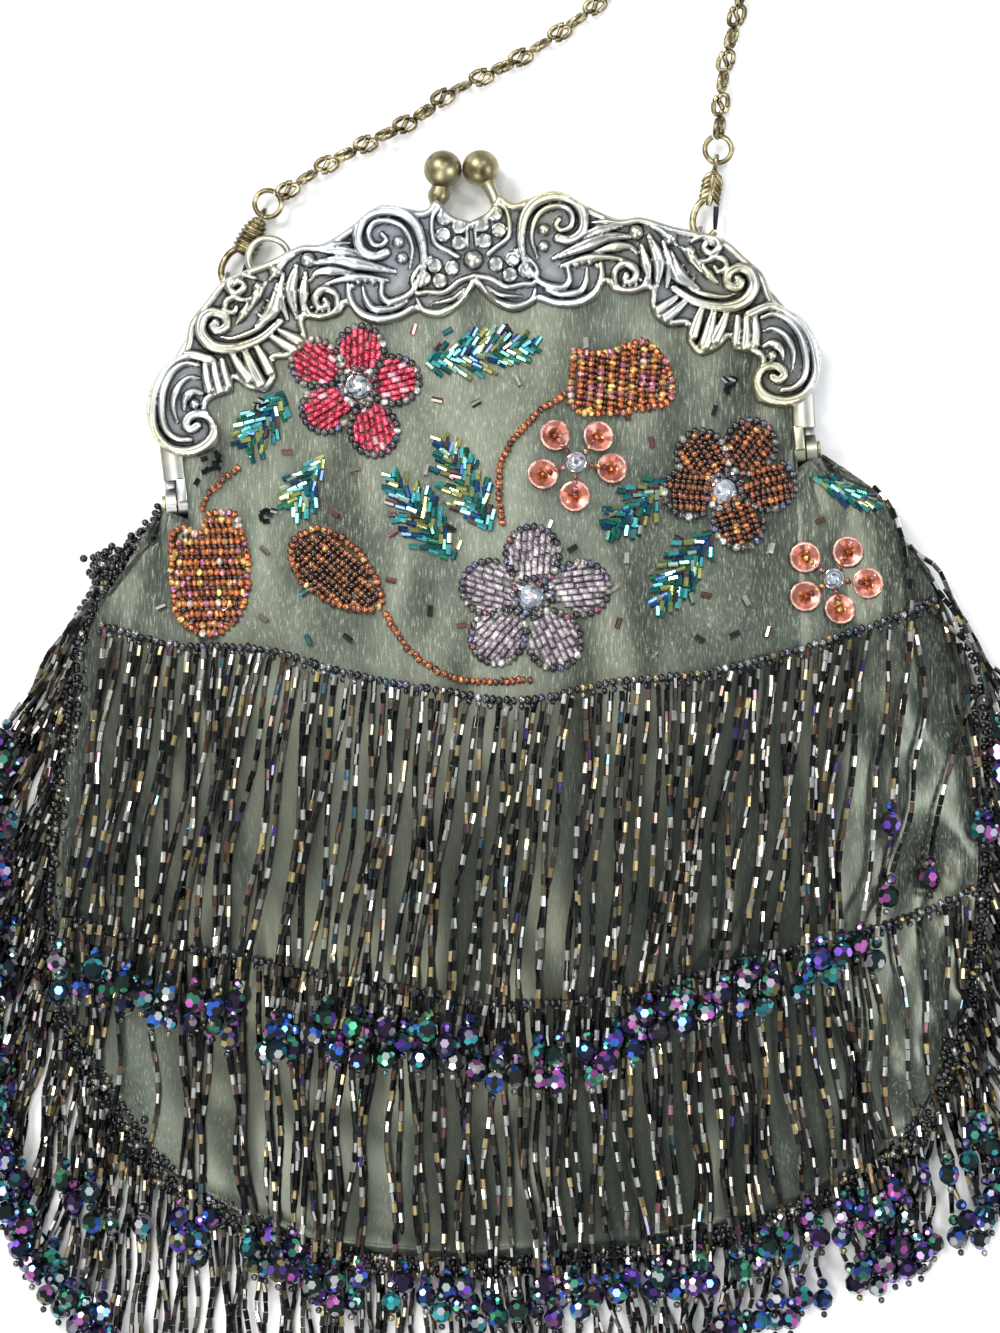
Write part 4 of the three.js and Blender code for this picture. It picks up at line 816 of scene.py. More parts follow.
for side, place in CLASP_PLACES.items():
    middle, opening = SPLIT_RINGS[side]
    turns = np.linspace(opening + SPLIT_GAP, opening + SPLIT_GAP + SPLIT_TURN * 2 * math.pi, SPLIT_STEPS)
    bm = bmesh.new()
    run_along(bm, arc((*middle, CLASP_HEIGHT), SPLIT_ROUND, turns), SPLIT_WIRE, sides=10)
    to_bag(bm, Matrix())
    piece(side + "_split_ring", bm, [old_brass], [side + "_ring"])

    bm = bmesh.new()
    wire_ring(bm, TOP_EYE, TOP_EYE_WIRE)
    if side == "left":
        steps = np.linspace(0, 1, COIL_STEPS)
        coils = 1 - COIL_GROOVE * np.abs(np.cos(steps * math.pi * COILS)) ** 3
        radii = np.interp(steps, np.linspace(0, 1, len(COIL_RADII)), COIL_RADII) * coils
        run_along(bm, [(0, COIL_TOP - COIL_LONG * t, 0) for t in steps], radii, radii * COIL_FLAT, sides=18)
    else:
        quill = [(0, QUILL_TOP - QUILL_STEP * i, 0) for i in range(len(QUILL_RADII))]
        run_along(bm, quill, QUILL_RADII, sides=10)
        for i in range(BARBS):
            top = BARB_TOP - BARB_STEP * i
            for way in (-1, 1):
                barb = [(0, top, 0.5), (way * 1.3, top - 1.1, 0.55), (way * 2.3, top - 2.6, 0.1)]
                run_along(bm, barb, BARB_WIDE, BARB_TALL)
    run_along(bm, [(*p, 0) for p in smooth_line(HOOK, HOOK_STEPS)], HOOK_WIRE, sides=10)
    to_bag(bm, place)
    piece(side + "_leaf_hook", bm, [old_brass], [side + "_clasp"], smooth=60)

    bm = bmesh.new()
    run_along(bm, GATE, GATE_WIDE, GATE_TALL, sides=10)
    to_bag(bm, place)
    piece(side + "_spring_gate", bm, [blued], [side + "_gate"], body=side + "_gate")

# Seed-bead lines
# Two lines of gunmetal seed beads are couched on the satin, each with a looser line of smaller ones just
# below it. The front fringes are knotted in under them.
UPPER_ROOTS = [(-92.2, 45.6), (-74.9, 41.1), (-55.8, 40.2), (-36.2, 34.7), (-15.3, 30.9), (1.6, 28.9),
               (21.8, 32.9), (41.3, 34.9), (62.4, 40), (82.9, 46.7), (93.6, 51)]
LOWER_ROOTS = [(-99.6, -19.4), (-88.2, -23.1), (-76, -25.8), (-60, -28.2), (-40.7, -32.2), (-30.4, -33.6),
               (-8.7, -38), (1.1, -38.4), (18.9, -36.7), (38.9, -32.2), (54.4, -27.8), (70.4, -24.4),
               (84.2, -20.7), (93.8, -17.3), (102.2, -13.2)]
SEED, SEED_PITCH, SEED_STRAY = 1.0, 1.58, 0.12
BELOW, BELOW_SEED, BELOW_PITCH, BELOW_LIFT = 1.5, 0.8, 2.3, -0.3


def mixture(*shades):
    """A palette: the weight of each shade, and its colour as seen on screen."""
    return [(weight, paint(*tint)) for weight, *tint in shades]


GUNMETAL = mixture((5, 46, 48, 52), (3, 84, 86, 90), (2, 146, 146, 146), (1, 140, 122, 90),
                   (0.6, 92, 76, 110), (0.6, 62, 92, 104))
bm = bmesh.new()
bmesh.ops.create_uvsphere(bm, u_segments=7, v_segments=5, radius=1)
in_order(bm)
seed_bead = shape_of(bm, True)
SEED_FACES = len(seed_bead["counts"])


def pick(rng, palette):
    """A colour drawn from a palette of (weight, colour), a little lighter or darker."""
    weights = np.array([w for w, _ in palette], float)
    shade = palette[rng.choice(len(palette), p=weights / weights.sum())][1]
    return np.array(shade) * rng.uniform(0.75, 1.25)


def seed_tint(rng, palette, shade_dim=1.0):
    """Colours of a seed bead's faces: half in painted shade, a few with painted glints from its lining."""
    lit = rng.choice((0.45, 0.95, 2.4), (SEED_FACES, 1), p=(0.42, 0.4, 0.18))
    return np.clip(shade_dim * pick(rng, palette) * lit, 0, 1)


def sew(copies, shape, spot, heading, thick, long, tint, turn=0.0, lift=0.0):
    """Lays a bead on the satin at a place in millimetres, pointing along a heading in the plane."""
    height, up = seat(*spot)
    ahead = Vector((math.cos(heading), math.sin(heading), 0))
    ahead -= ahead.dot(up) * up
    copies.append((shape, placed((*spot, height + thick + lift), ahead, thick, long, turn), tint))


def bead_line(copies, points, rng, palette, radius=SEED, pitch=SEED_PITCH, lift=0.0):
    """Seed beads side by side along a line on the satin."""
    count = max(2, round(walk(smooth_line(points, 400))[-1] / pitch))
    line = smooth_line(points, count)
    for spot, (dx, dy) in zip(line, np.gradient(line, axis=0)):
        size = radius * rng.uniform(0.9, 1.08)
        sew(copies, seed_bead, spot + rng.normal(0, SEED_STRAY, 2), math.atan2(dy, dx), size, 0.8 * size,
            seed_tint(rng, palette), rng.uniform(0, 3), lift)


def glass(name, metal, smooth_low, smooth_high, coat):
    """Coated bead glass: each bead's own tint, faintly clouded, under a clear shine."""
    made, tree, shader = finish(name, Metallic=metal, Coat_Weight=coat, Coat_Roughness=0.06)
    tint = add_node(tree, "Attribute", {}, attribute_name="tint").outputs["Color"]
    cloud = grain(tree, 520, detail=3)
    shade = ramp(tree, cloud, [(0.3, (0.72, 0.72, 0.72)), (0.7, (1, 1, 1))])
    clouded = add_node(tree, "Mix", {0: 1.0, 6: tint, 7: shade}, data_type="RGBA", blend_type="MULTIPLY")
    tree.links.new(clouded.outputs[2], shader.inputs["Base Color"])
    roughened(tree, shader, cloud, smooth_low, smooth_high)
    bumped(tree, shader, cloud, 0.03 * MM, 0.3)
    return made


seed_glass = glass("seed bead glass", 0.55, 0.1, 0.28, 0.6)
rng = np.random.default_rng(11)
for name, points in (("upper_row", UPPER_ROOTS), ("lower_row", LOWER_ROOTS)):
    copies = []
    bead_line(copies, points, rng, GUNMETAL)
    below = moved_out(smooth_line(points, 60), -BELOW)
    bead_line(copies, below, rng, GUNMETAL, BELOW_SEED, BELOW_PITCH, BELOW_LIFT)
    threaded(name + "_beads", copies, [seed_glass], [name])

# Front fringes
# Two tiers of strands hang down the front from the bead lines: cut glass bugles on a thread, then a small
# round bead, a large faceted bead with a rainbow coat and a seed that stops the thread.
UPPER_TIPS = [(-104.4, -34.4), (-84.4, -40.4), (-60, -47.8), (-39, -50), (-17, -51.6), (1.5, -55.1),
              (18, -53), (27, -49), (39.5, -43), (60.5, -36), (86.7, -26.7)]
LOWER_TIPS = [(-102.9, -83.3), (-90, -90), (-78.9, -92.2), (-62.9, -96), (-41.1, -104.4), (-30, -108),
              (-8.2, -109.3), (2.2, -109.8), (19.8, -107.1), (39.3, -102.7), (55.6, -97.8), (73.3, -92.2),
              (88.2, -85.6), (97.8, -77.8), (108.4, -68.9)]
BUGLE, BUGLE_LONG, BUGLE_PITCH = 0.58, 2.3, 2.36
ROUND_BEAD, FACET_BEAD, SMALL_END, STOP_SEED = 1.4, 2.7, 1.9, 0.8
FACET_SWELL, FACET_CUT = 1.06, 33
# Rise of the upper tier over the lower one, height of the bed of rim strands, and how uneven the ends are.
UNDER_TIER, RIM_MAT, RAGGED = 2.3, 2.4, 0.1
# How a strand lies: its steps, its bow and waves, its steepest slope, the rise of every other strand over
# its neighbours, and the length over which it climbs to its end bead.
STRAND_STEPS, BOW, BOW_STRAY, WAVES = 34, 3.4, 0.7, 1.6
DRAPE_SLOPE, THREAD_LIFT, OVER_NEXT, CLIMB_FROM, CLIMB = 0.45, 0.15, 1.1, 16, 12
BUNCH_OF, LINE_STEPS = 5, 300
# How end beads settle: rounds, push apart, pull home and sinking in each.
PILE_ROUNDS, PUSH, HOMING, SINKING = 70, 0.3, 0.04, 0.05
# Mostly black and grey bugles; the pale, gold and coloured shades among them are painted glints.
JET_AND_GLINTS = mixture((17, 22, 23, 26), (10, 48, 48, 50), (9, 92, 90, 84), (7, 134, 126, 110),
              (7.5, 216, 216, 210), (5.5, 210, 188, 136), (3, 124, 96, 74), (0.5, 168, 116, 134),
              (0.35, 84, 66, 130), (0.45, 76, 112, 128))
# A faceted bead is dark and clear; single facets take painted glints of its rainbow coat, in these colours.
DARK_BODY = [paint(24, 50, 56), paint(28, 36, 66), paint(46, 34, 62), paint(28, 50, 44), paint(48, 48, 52)]
COAT_GLINTS = mixture((4, 84, 216, 226), (4, 70, 126, 246), (3, 146, 96, 236), (3, 234, 124, 222),
                (3, 96, 212, 164), (2.5, 248, 246, 250), (0.6, 214, 194, 136))
bm = bmesh.new()
bmesh.ops.create_cone(bm, cap_ends=True, segments=6, radius1=1, radius2=1, depth=1)
bugle = shape_of(bm, False)
# The flat ends of every bugle take painted shade, for the shade inside their holes.
BUGLE_END_SHADE = np.where(bugle["counts"] > 4, 0.15, 1.0)[:, None]
bm = bmesh.new()
bmesh.ops.create_icosphere(bm, subdivisions=1, radius=FACET_SWELL)
bmesh.ops.bevel(bm, geom=bm.verts[:], offset=FACET_CUT, offset_type="PERCENT", affect="VERTICES",
                segments=1, profile=0.5, material=-1)
facet_bead = shape_of(bm, False)
FACETS = len(facet_bead["counts"])


def facets(rng):
    """Colours of a faceted bead: its body, faint painted glints on some facets and bright ones on a few."""
    body = np.array(DARK_BODY[rng.integers(len(DARK_BODY))])
    kinds = rng.choice(3, FACETS, p=(0.62, 0.2, 0.18))
    two_hues = [pick(rng, COAT_GLINTS), pick(rng, COAT_GLINTS)]
    return np.array([(body, 0.4 * two_hues[i % 2], two_hues[i % 2])[kind] for i, kind in enumerate(kinds)])


def piled(spots, ground):
    """Settles end beads side by side and on each other, as near their places as there is room."""
    home = spots.copy()
    for _ in range(PILE_ROUNDS):
        apart = spots[:, None] - spots[None]
        far = np.linalg.norm(apart, axis=2) + np.eye(len(spots)) * 99
        push = np.clip(2.0 * FACET_BEAD - far, 0, None)[..., None] * apart / far[..., None]
        spots = spots + PUSH * push.sum(axis=1) + HOMING * (home - spots)
        floor = np.array([ground(x, y) for x, y, _ in spots]) + FACET_SWELL * FACET_BEAD
        spots[:, 2] = np.maximum(spots[:, 2] - SINKING, floor)
    return spots


def draped(flat, ground, lift):
    """Heights of a strand: it rests on high spots and slopes down from them."""
    heights = np.array([ground(x, y) for x, y in flat]) + lift
    step = DRAPE_SLOPE * np.linalg.norm(np.diff(flat, axis=0), axis=1)
    for i in range(1, len(flat)):
        heights[i] = max(heights[i], heights[i - 1] - step[i - 1])
    for i in range(len(flat) - 2, -1, -1):
        heights[i] = max(heights[i], heights[i + 1] - step[i])
    return heights


def strand(copies, line, rng, shaded_share, end_bead=FACET_BEAD):
    """Threads beads along a line in space, from its root to its stop seed; a share of them is in painted
    shade.
    """
    walked = walk(line)
    # Painted shade: a share of the bugles is darkened to a quarter, and the faceted beads by up to two
    # fifths.
    shine = 1 - 0.4 * shaded_share

    def add(shape, at, thick, long, tint, turn, kink=0.0):
        spot, ahead, back = ([np.interp(at + d, walked, column) for column in line.T]
                             for d in (0, 0.6, -0.6))
        along = np.subtract(ahead, back) + rng.normal(0, 1, 3) * kink
        copies.append((shape, placed(spot, along, thick, long, turn), tint))

    end = walked[-1]
    add(seed_bead, end - STOP_SEED, STOP_SEED, STOP_SEED, pick(rng, GUNMETAL), 0)
    big = end_bead * rng.uniform(0.92, 1.03)
    middle = end - 2 * STOP_SEED - big
    add(facet_bead, middle, big, FACET_SWELL * big, facets(rng) * shine, rng.uniform(0, 3))
    neck = middle - big - 0.8 * ROUND_BEAD
    add(facet_bead, neck, ROUND_BEAD, ROUND_BEAD, facets(rng) * shine, rng.uniform(0, 3))
    at = neck - ROUND_BEAD - 0.5 * BUGLE_PITCH
    while at > 0.5 * BUGLE_LONG:
        # Each face of a bugle is lighter or darker at random: painted glints and painted shade on its
        # facets.
        shade = BUGLE_END_SHADE * rng.uniform(0.3, 1.3, BUGLE_END_SHADE.shape) * (0.25 if rng.uniform() < shaded_share else 1)
        long = BUGLE_LONG * rng.uniform(0.95, 1.01)
        add(bugle, at, BUGLE, long, shade * pick(rng, JET_AND_GLINTS), rng.uniform(0, 3), kink=0.06)
        at -= BUGLE_PITCH


# Every strand's route and the length of one of its steps, from which the satin gets its painted shade.
laid = []


def fringe(name, roots, tips, count, seed, ground, gather, shaded_share, sparse=(), loose=()):
    """A tier of strands between a line of roots and a line of ends, gathered in bunches here and there."""
    rng = np.random.default_rng(seed)
    share = (np.arange(count) + 0.5 + rng.uniform(-0.3, 0.3, count)) / count
    for low, high in sparse:
        share = share[(share < low) | (share > high) | (np.arange(len(share)) % 3 == 0)]
    count = len(share)
    bounds = np.concatenate([[0], np.sort(rng.uniform(0, 1, count // BUNCH_OF)), [1]])
    group = np.clip(np.searchsorted(bounds, share), 1, len(bounds) - 1)
    pull = rng.uniform(*gather, len(bounds))[group]
    gathered = share + ((bounds[group] + bounds[group - 1]) / 2 - share) * pull
    top, bottom = smooth_line(roots, LINE_STEPS), smooth_line(tips, LINE_STEPS)
    grid = np.linspace(0, 1, LINE_STEPS)
    start = np.column_stack([np.interp(share, grid, column) for column in top.T])
    stop = np.column_stack([np.interp(gathered, grid, column) for column in bottom.T])
    stop = start + (stop - start) * (1 - RAGGED * rng.uniform(0, 1, count))[:, None]
    high = np.array([ground(x, y) for x, y in stop]) + FACET_BEAD + rng.uniform(0, 4, count)
    beads = np.column_stack([stop, high])
    small = np.arange(count) % 4 == 1
    beads[small, 2] -= FACET_BEAD - SMALL_END
    beads[~small] = piled(beads[~small], ground)
    copies = []
    t = np.linspace(0, 1, STRAND_STEPS)
    for i, (a, bead) in enumerate(zip(start, beads)):
        long = np.linalg.norm(bead[:2] - a)
        ahead = (bead[:2] - a) / long
        bow = BOW * noise.noise((share[i] * 14, seed, 1)) + rng.normal(0, BOW_STRAY)
        wave, phase = rng.uniform(0.4, 1.3), rng.uniform(0, 1)
        sway = (bow + wave * np.sin(2 * math.pi * (WAVES * t + phase))) * np.sin(math.pi * t)
        flat = a + (bead[:2] - a) * t[:, None] + np.outer(sway, (-ahead[1], ahead[0]))
        laid.append((flat, long / len(t)))
        near_end = np.clip((t * long - (long - CLIMB_FROM)) / CLIMB, 0, 1)
        lying = draped(flat, ground, BUGLE + THREAD_LIFT + OVER_NEXT * (i % 2))
        heights = lying + (bead[2] - lying) * near_end**2 * (3 - 2 * near_end)
        end_bead = SMALL_END if small[i] else FACET_BEAD
        past_bead = bead + np.array([*ahead, 0]) * (end_bead + 2 * STOP_SEED)
        strand(copies, np.vstack([np.column_stack([flat, heights]), past_bead]), rng, shaded_share, end_bead)
    for points in loose:
        flat = smooth_line(points, 40)
        lift = np.linspace(1.5 * BUGLE, 1.08 * FACET_BEAD, len(flat))
        strand(copies, np.column_stack([flat, draped(flat, ground, lift)]), rng, 0.6 * shaded_share)
    threaded(name + "_strands", copies, [cut_glass], [name])


def on_front(x, y):
    """What the lower tier lies on: the satin, and beyond it the rim's strands."""
    height = seat(x, y)[0]
    return height if height > 0 else RIM_MAT


lower_line = smooth_line(LOWER_ROOTS, 200)


def over_lower_tier(x, y):
    """What the upper tier lies on."""
    return on_front(x, y) + UNDER_TIER * float(y < np.interp(x, *lower_line.T) + 1)


# One strand of the upper tier has been flung up over the bag's right shoulder; another wanders beside it.
FLUNG = [[(79.5, 77.5), (82.5, 73.8), (85.4, 68.3), (87.4, 58.5), (88.2, 48.9), (86.9, 33.3),
          (84.4, 15.6), (82.9, -2.5)],
         [(88.4, 47.2), (90.2, 38.6), (91.3, 29.2), (90.6, 22.8), (88.8, 14.9), (88.1, 5.5), (86.6, -0.9),
          (83.8, -8.9), (82.3, -18.9)]]
cut_glass = glass("cut bead glass", 0.65, 0.05, 0.18, 0.7)
fringe("lower_fringe", LOWER_ROOTS, LOWER_TIPS, count=102, seed=21, ground=on_front, gather=(0.05, 0.45),
       shaded_share=0.1, sparse=[(0.05, 0.12), (0.89, 0.96)])
fringe("upper_fringe", UPPER_ROOTS, UPPER_TIPS, count=90, seed=22, ground=over_lower_tier,
       gather=(0.1, 0.55), shaded_share=0, sparse=[(0.92, 1.0)], loose=FLUNG)

# The satin's painted shade: the length of strand over each square millimetre, spread over those around it.
MAP_HALF, FULL_SHADE, SHADE_CURVE, SHADE_SPREAD, FRONT_ABOVE = 160, 0.38, 1.7, 3, 5
painted_shade_map = np.zeros((2 * MAP_HALF, 2 * MAP_HALF))
for flat, each in laid:
    np.add.at(painted_shade_map, tuple((flat[:, ::-1] + MAP_HALF).astype(int).T), each)
painted_shade_map = np.clip(blurred(painted_shade_map, SHADE_SPREAD) / FULL_SHADE, 0, 1) ** SHADE_CURVE
spots = np.array([v.co[:] for v in pouch.data.vertices]) / MM
shade = painted_shade_map[tuple((spots[:, 1::-1] + MAP_HALF).astype(int).T)] * (spots[:, 2] > FRONT_ABOVE)
pouch.data.attributes.new("shade", "FLOAT", "POINT").data.foreach_set("value", shade.astype(np.float32))

# Rim trim and rim fringe
# Five lines of dark seed beads cover the seam, with small bunches caught in them. A third tier of strands
# hangs from the seam all the way round and lies on the table; some lie along its right edge.
SEAM_BEADS = mixture((7, 22, 23, 26), (3, 52, 53, 56), (1, 150, 148, 140), (1, 104, 94, 66))
# Each trim line: how far outside the seam, its height, and the bare shares of the seam at left and right.
TRIM_LINES = [(-2.7, 5.0, 0.06, 0.12), (-0.5, 4.7, 0.0, 0.09), (1.0, 4.3, 0.0, 0.12),
              (2.3, 2.8, 0.01, 0.14), (2.4, 1.7, 0.02, 0.14)]
TRIM_TOP, TRIM_BEADS, TRIM_STRAY, TRIM_HALF, TRIM_FALL = 5.0, 340, 0.22, 2, 5
BUNCHES, BUNCH_BEADS, BUNCH_HEIGHT, BUNCH_SPREAD = 34, 9, 5.4, (1.9, 1.9, 0.5)
BUNCH_PLACES = np.arange(4, 270)
# Strands are rooted this far, of the way out to their line of roots, from the seam.
ROOTED_OUT = 0.2
# A thick knot of beads lies at the top of the left side.
KNOT, KNOT_SPREAD, KNOT_BEADS = (-90.3, 59.2, 4.2), (2.4, 1.7, 0.9), 70
RIM_STRANDS = dict(
    left_fringe=(96, [(-97.5, 60.5), (-101.5, 46), (-104.5, 24), (-107.5, -2), (-108, -22), (-104.5, -43),
                      (-98, -57), (-85.2, -76)],
                 [(-115.6, 18.9), (-117.5, 3), (-118, -22.2), (-118, -46), (-117, -64.4), (-112, -88),
                  (-104, -104), (-87.2, -122.5)]),
    bottom_fringe=(88, [(-83.6, -77.8), (-70, -88.3), (-48.5, -97), (-25.8, -100.8), (-3.3, -101.2),
                        (14.5, -100.2), (31.4, -97.7), (51, -93.1), (69, -86.9)],
                   [(-85.2, -124), (-71, -134), (-49, -143), (-26, -148), (-3.3, -148.5), (14.5, -146),
                    (31, -132), (49.5, -113), (68.6, -106)]),
    right_fringe=(84, [(70.8, -85.8), (89.5, -74.3), (97.2, -63.5), (103, -48), (108.2, -24.4),
                       (109.4, -5), (109.4, 16), (108.5, 33), (104.5, 46)],
                  [(70.8, -105), (91.5, -95), (101, -91), (110, -84.4), (115.6, -65), (117.5, -42),
                   (117.5, -20), (119, 2), (116.5, 17)]),
)
ALONG_EDGE = dict(left_fringe=[], bottom_fringe=[], right_fringe=[
    [(87, 64.1), (90.2, 61.2), (94.6, 58), (97.8, 50.8), (101, 44.3), (103.9, 37.1), (105.3, 32.1),
     (107.5, 20), (109.5, 8)],
    [(88.1, 62.7), (91.7, 58), (95.3, 52.2), (98.1, 48.6), (101.7, 42.9), (104.5, 36), (107.5, 27),
     (110, 17)],
    [(87.4, 50.1), (91.7, 50.1), (95.3, 46.5), (99.6, 42.9), (103.2, 39.3), (104.6, 33.6), (107, 24),
     (109, 13)],
    [(94.6, 51.5), (96.7, 44.3), (97.8, 37.1), (98.1, 30), (99.2, 24.2), (101.7, 13.4), (103.2, 4.1),
     (104.6, -4.5)],
    [(98.1, 48.6), (99.6, 40), (101, 32.1), (101.7, 24.2), (103.9, 13.4), (105.3, 4.1), (106.4, -4.5)],
    [(96, 54), (100.4, 46.5), (103.6, 40), (106, 31), (108.6, 22), (112, 13)],
    [(104.6, 32.1), (101.7, 27.1), (98.9, 21.3), (96.7, 13.4), (94.6, 6.2), (93.1, -1.7), (92.4, -9.6),
     (92.4, -15.3)],
])
rng = np.random.default_rng(31)
rim_line = smooth_line(RIM[:-1], TRIM_BEADS)
copies = []


def trimmed(place, along, size):
    """A seed bead of the trim."""
    copies.append((seed_bead, placed(place, along, size, 0.8 * size), seed_tint(rng, SEAM_BEADS)))


def knotted(place, spread):
    """A bead caught near a place, turned any way."""
    where = np.add(place, rng.normal(0, 1, 3) * spread)
    trimmed(where, rng.normal(0, 1, 3), SEED)


for out, height, bare_left, bare_right in TRIM_LINES:
    line = moved_out(rim_line, -out)[round(bare_left * TRIM_BEADS):round((1 - bare_right) * TRIM_BEADS)]
    for spot, ahead in zip(line, np.gradient(line, axis=0)):
        place = np.append(spot, height) + rng.normal(0, TRIM_STRAY, 3)
        trimmed(place, (*ahead, 0), SEED * rng.uniform(0.85, 1.1))
for at in rng.choice(BUNCH_PLACES, BUNCHES, replace=False):
    for _ in range(BUNCH_BEADS):
        knotted((*rim_line[at], BUNCH_HEIGHT), BUNCH_SPREAD)
for _ in range(KNOT_BEADS):
    knotted(KNOT, KNOT_SPREAD)
threaded("rim_trim_beads", copies, [seed_glass], ["rim_trim"])
seam_places = nearest_among(rim_line)


def over_trim(x, y):
    """Height of the trim near the seam, falling to the table beside it."""
    away = min(1, max(0, (seam_places.find((x, y, 0))[2] - TRIM_HALF) / TRIM_FALL))
    return max(TRIM_TOP * (1 - away * away * (3 - 2 * away)), seat(x, y)[0])


# Most of the rim strands' bugles take painted shade, for the shade where they lie heaped on each other.
for seed, (name, (count, roots, tips)) in enumerate(RIM_STRANDS.items()):
    on_trim = [(1 - ROOTED_OUT) * np.array(seam_places.find((*spot, 0))[0].xy) + ROOTED_OUT * np.array(spot)
               for spot in roots]
    fringe(name, on_trim, tips, count, seed=41 + seed, ground=over_trim, gather=(0.1, 0.5), shaded_share=0.7,
           loose=ALONG_EDGE[name])

# Beaded flowers
# Three five-petalled flowers stitched to the satin. Each petal is a round patch of bugles or seed beads in
# rows towards the middle, edged with gunmetal seeds, about a foil-backed crystal in a metal cup.
STONE, STONE_LIFT, STONE_EDGING, STONE_SEEDS = 2.8, 0.3, 3.9, 14
TUBE, TUBE_PITCH, TUBE_STRAY = 0.66, 1.36, 0.1
ROW_PITCH, ROW_SEED, ROW_SEED_LONG, ROW_STEP, ROW_LIFT, ROW_STRAY = 2.3, 0.95, 0.76, 1.28, 0.5, 0.09
# The beads in the grooves between rows are their palette's colours in painted shade.
GROOVE_SEED_LONG, GROOVE_STEP, GROOVE_LIFT, GROOVE_SHADE = 0.8, 1.3, -0.45, 0.2
RED = mixture((4, 196, 44, 76), (3, 222, 78, 104), (2, 160, 28, 56), (1, 240, 170, 184))
LILAC = mixture((4, 150, 138, 148), (3, 174, 162, 170), (2, 126, 114, 128), (1, 212, 204, 208))
BROWN = mixture((4, 106, 55, 28), (3, 140, 78, 38), (2, 66, 34, 20), (0.8, 182, 122, 66))
# Each flower: its middle, its petals' radius, palette and slot, the length of its bugles, if it has any,
# and the petals' places.
FLOWERS = dict(
    red=((-34.7, 98.7), 5.5, RED, "red_glass", 2.1,
         [(-44.4, 103.8), (-34.3, 106.6), (-26.7, 100), (-31.3, 88.7), (-42, 93.7)]),
    lilac=((3.4, 52), 6.2, LILAC, "lilac_glass", 2.3,
           [(3.9, 61.2), (-5.6, 53.8), (-3.8, 43), (8.7, 42), (14.7, 53.6)]),
    brown=((46.3, 75.2), 5.9, BROWN, "brown_glass", 0,
           [(41.6, 83), (52.4, 85.4), (56.7, 76.7), (49.8, 68.4), (39.1, 75.1)]),
)
EDGING = mixture((5, 46, 44, 48), (3, 80, 76, 76), (2, 136, 130, 124), (0.7, 104, 62, 74),
                 (1, 76, 80, 108), (0.7, 196, 194, 188))
CRYSTAL = mixture((4, 196, 200, 204), (3, 156, 164, 174), (2, 212, 192, 204), (2, 172, 200, 214),
                  (2, 104, 112, 122))
# A stone's rings from the cup's base up: each one's radius, its rise and its turn.
CUP = 1.04
CRYSTAL_RINGS = ((CUP, 0.34, 0), (0.93, 0.05, 0), (0.93, -0.08, 0), (0.78, 0.3, 15), (0.52, 0.22, 15),
                 (0.26, 0.1, 15))


def rows_inside(outline, heading, pitch, long):
    """Places of beads laid end to end in rows along a heading, inside an outline."""
    c, s = math.cos(heading), math.sin(heading)
    turn = np.array([[c, s], [-s, c]])
    shape = np.asarray(outline) @ turn.T
    ends = np.roll(shape, -1, axis=0)
    places = []
    low, high = shape[:, 1].min(), shape[:, 1].max()
    count = max(1, round((high - low) / pitch - 0.15))
    for row in range(count):
        level = (low + high) / 2 + (row - (count - 1) / 2) * pitch
        cut = (shape[:, 1] - level) * (ends[:, 1] - level) < 0
        a, b = shape[cut], ends[cut]
        across = np.sort(a[:, 0] + (level - a[:, 1]) / (b[:, 1] - a[:, 1]) * (b[:, 0] - a[:, 0]))
        for left, right in zip(across[::2], across[1::2]):
            fit = int((right - left + 0.35 * long) / long)
            offset = (left + right) / 2 + 0.35 * long * math.sin(2.4 * row)
            places += [(offset + (k - (fit - 1) / 2) * long, level) for k in range(fit)]
    return np.array(places).reshape(-1, 2) @ turn


def crystal_shape():
    """A brilliant-cut stone in a thin cup, radius 1, standing on its base."""
    bm = bmesh.new()
    ring = bmesh.ops.create_circle(bm, cap_ends=False, segments=12, radius=CUP)["verts"]
    edges = edges_of(ring)
    for radius, rise, turn in CRYSTAL_RINGS:
        ring, edges = extruded(bm, edges)
        grow = radius / ring[0].co.xy.length
        raised = Matrix.Translation((0, 0, ring[0].co.z + rise))
        turned = Matrix.Rotation(math.radians(turn), 4, "Z")
        bmesh.ops.transform(bm, matrix=raised @ turned @ Matrix.Diagonal((grow, grow, 0, 1)), verts=ring)
    bmesh.ops.holes_fill(bm, edges=edges, sides=0)
    bmesh.ops.recalc_face_normals(bm, faces=bm.faces)
    in_order(bm)
    return shape_of(bm, False)


crystal = crystal_shape()
stone_glass = glass("foil-backed crystal", 0.35, 0.04, 0.14, 0.5)
bead_glass = glass("lined bead glass", 0.25, 0.12, 0.3, 0.8)


def set_stone(copies, spot, radius, rng):
    """Stands a stone on the satin, each facet with its own glint."""
    height, _ = seat(*spot)
    tints = np.array([pick(rng, CRYSTAL) for _ in crystal["counts"]])
    place = np.array([(radius, 0, 0), (0, radius, 0), (0, 0, radius), (*spot, height + STONE_LIFT)])
    copies.append((crystal, place, np.clip(tints, 0, 1)))


def petal_outline(middle, spot, radius):
    """A petal's round edge, drawn out a little towards the flower's middle."""
    away = np.subtract(spot, middle)
    away = away / np.linalg.norm(away)
    side = np.array([-away[1], away[0]])
    turns = np.linspace(0, 2 * math.pi, 48, endpoint=False)
    reach = radius * (1 + 0.12 * (np.cos(turns) < -0.5)) * np.cos(turns)
    return np.asarray(spot) + np.outer(reach, away) + np.outer(0.96 * radius * np.sin(turns), side)


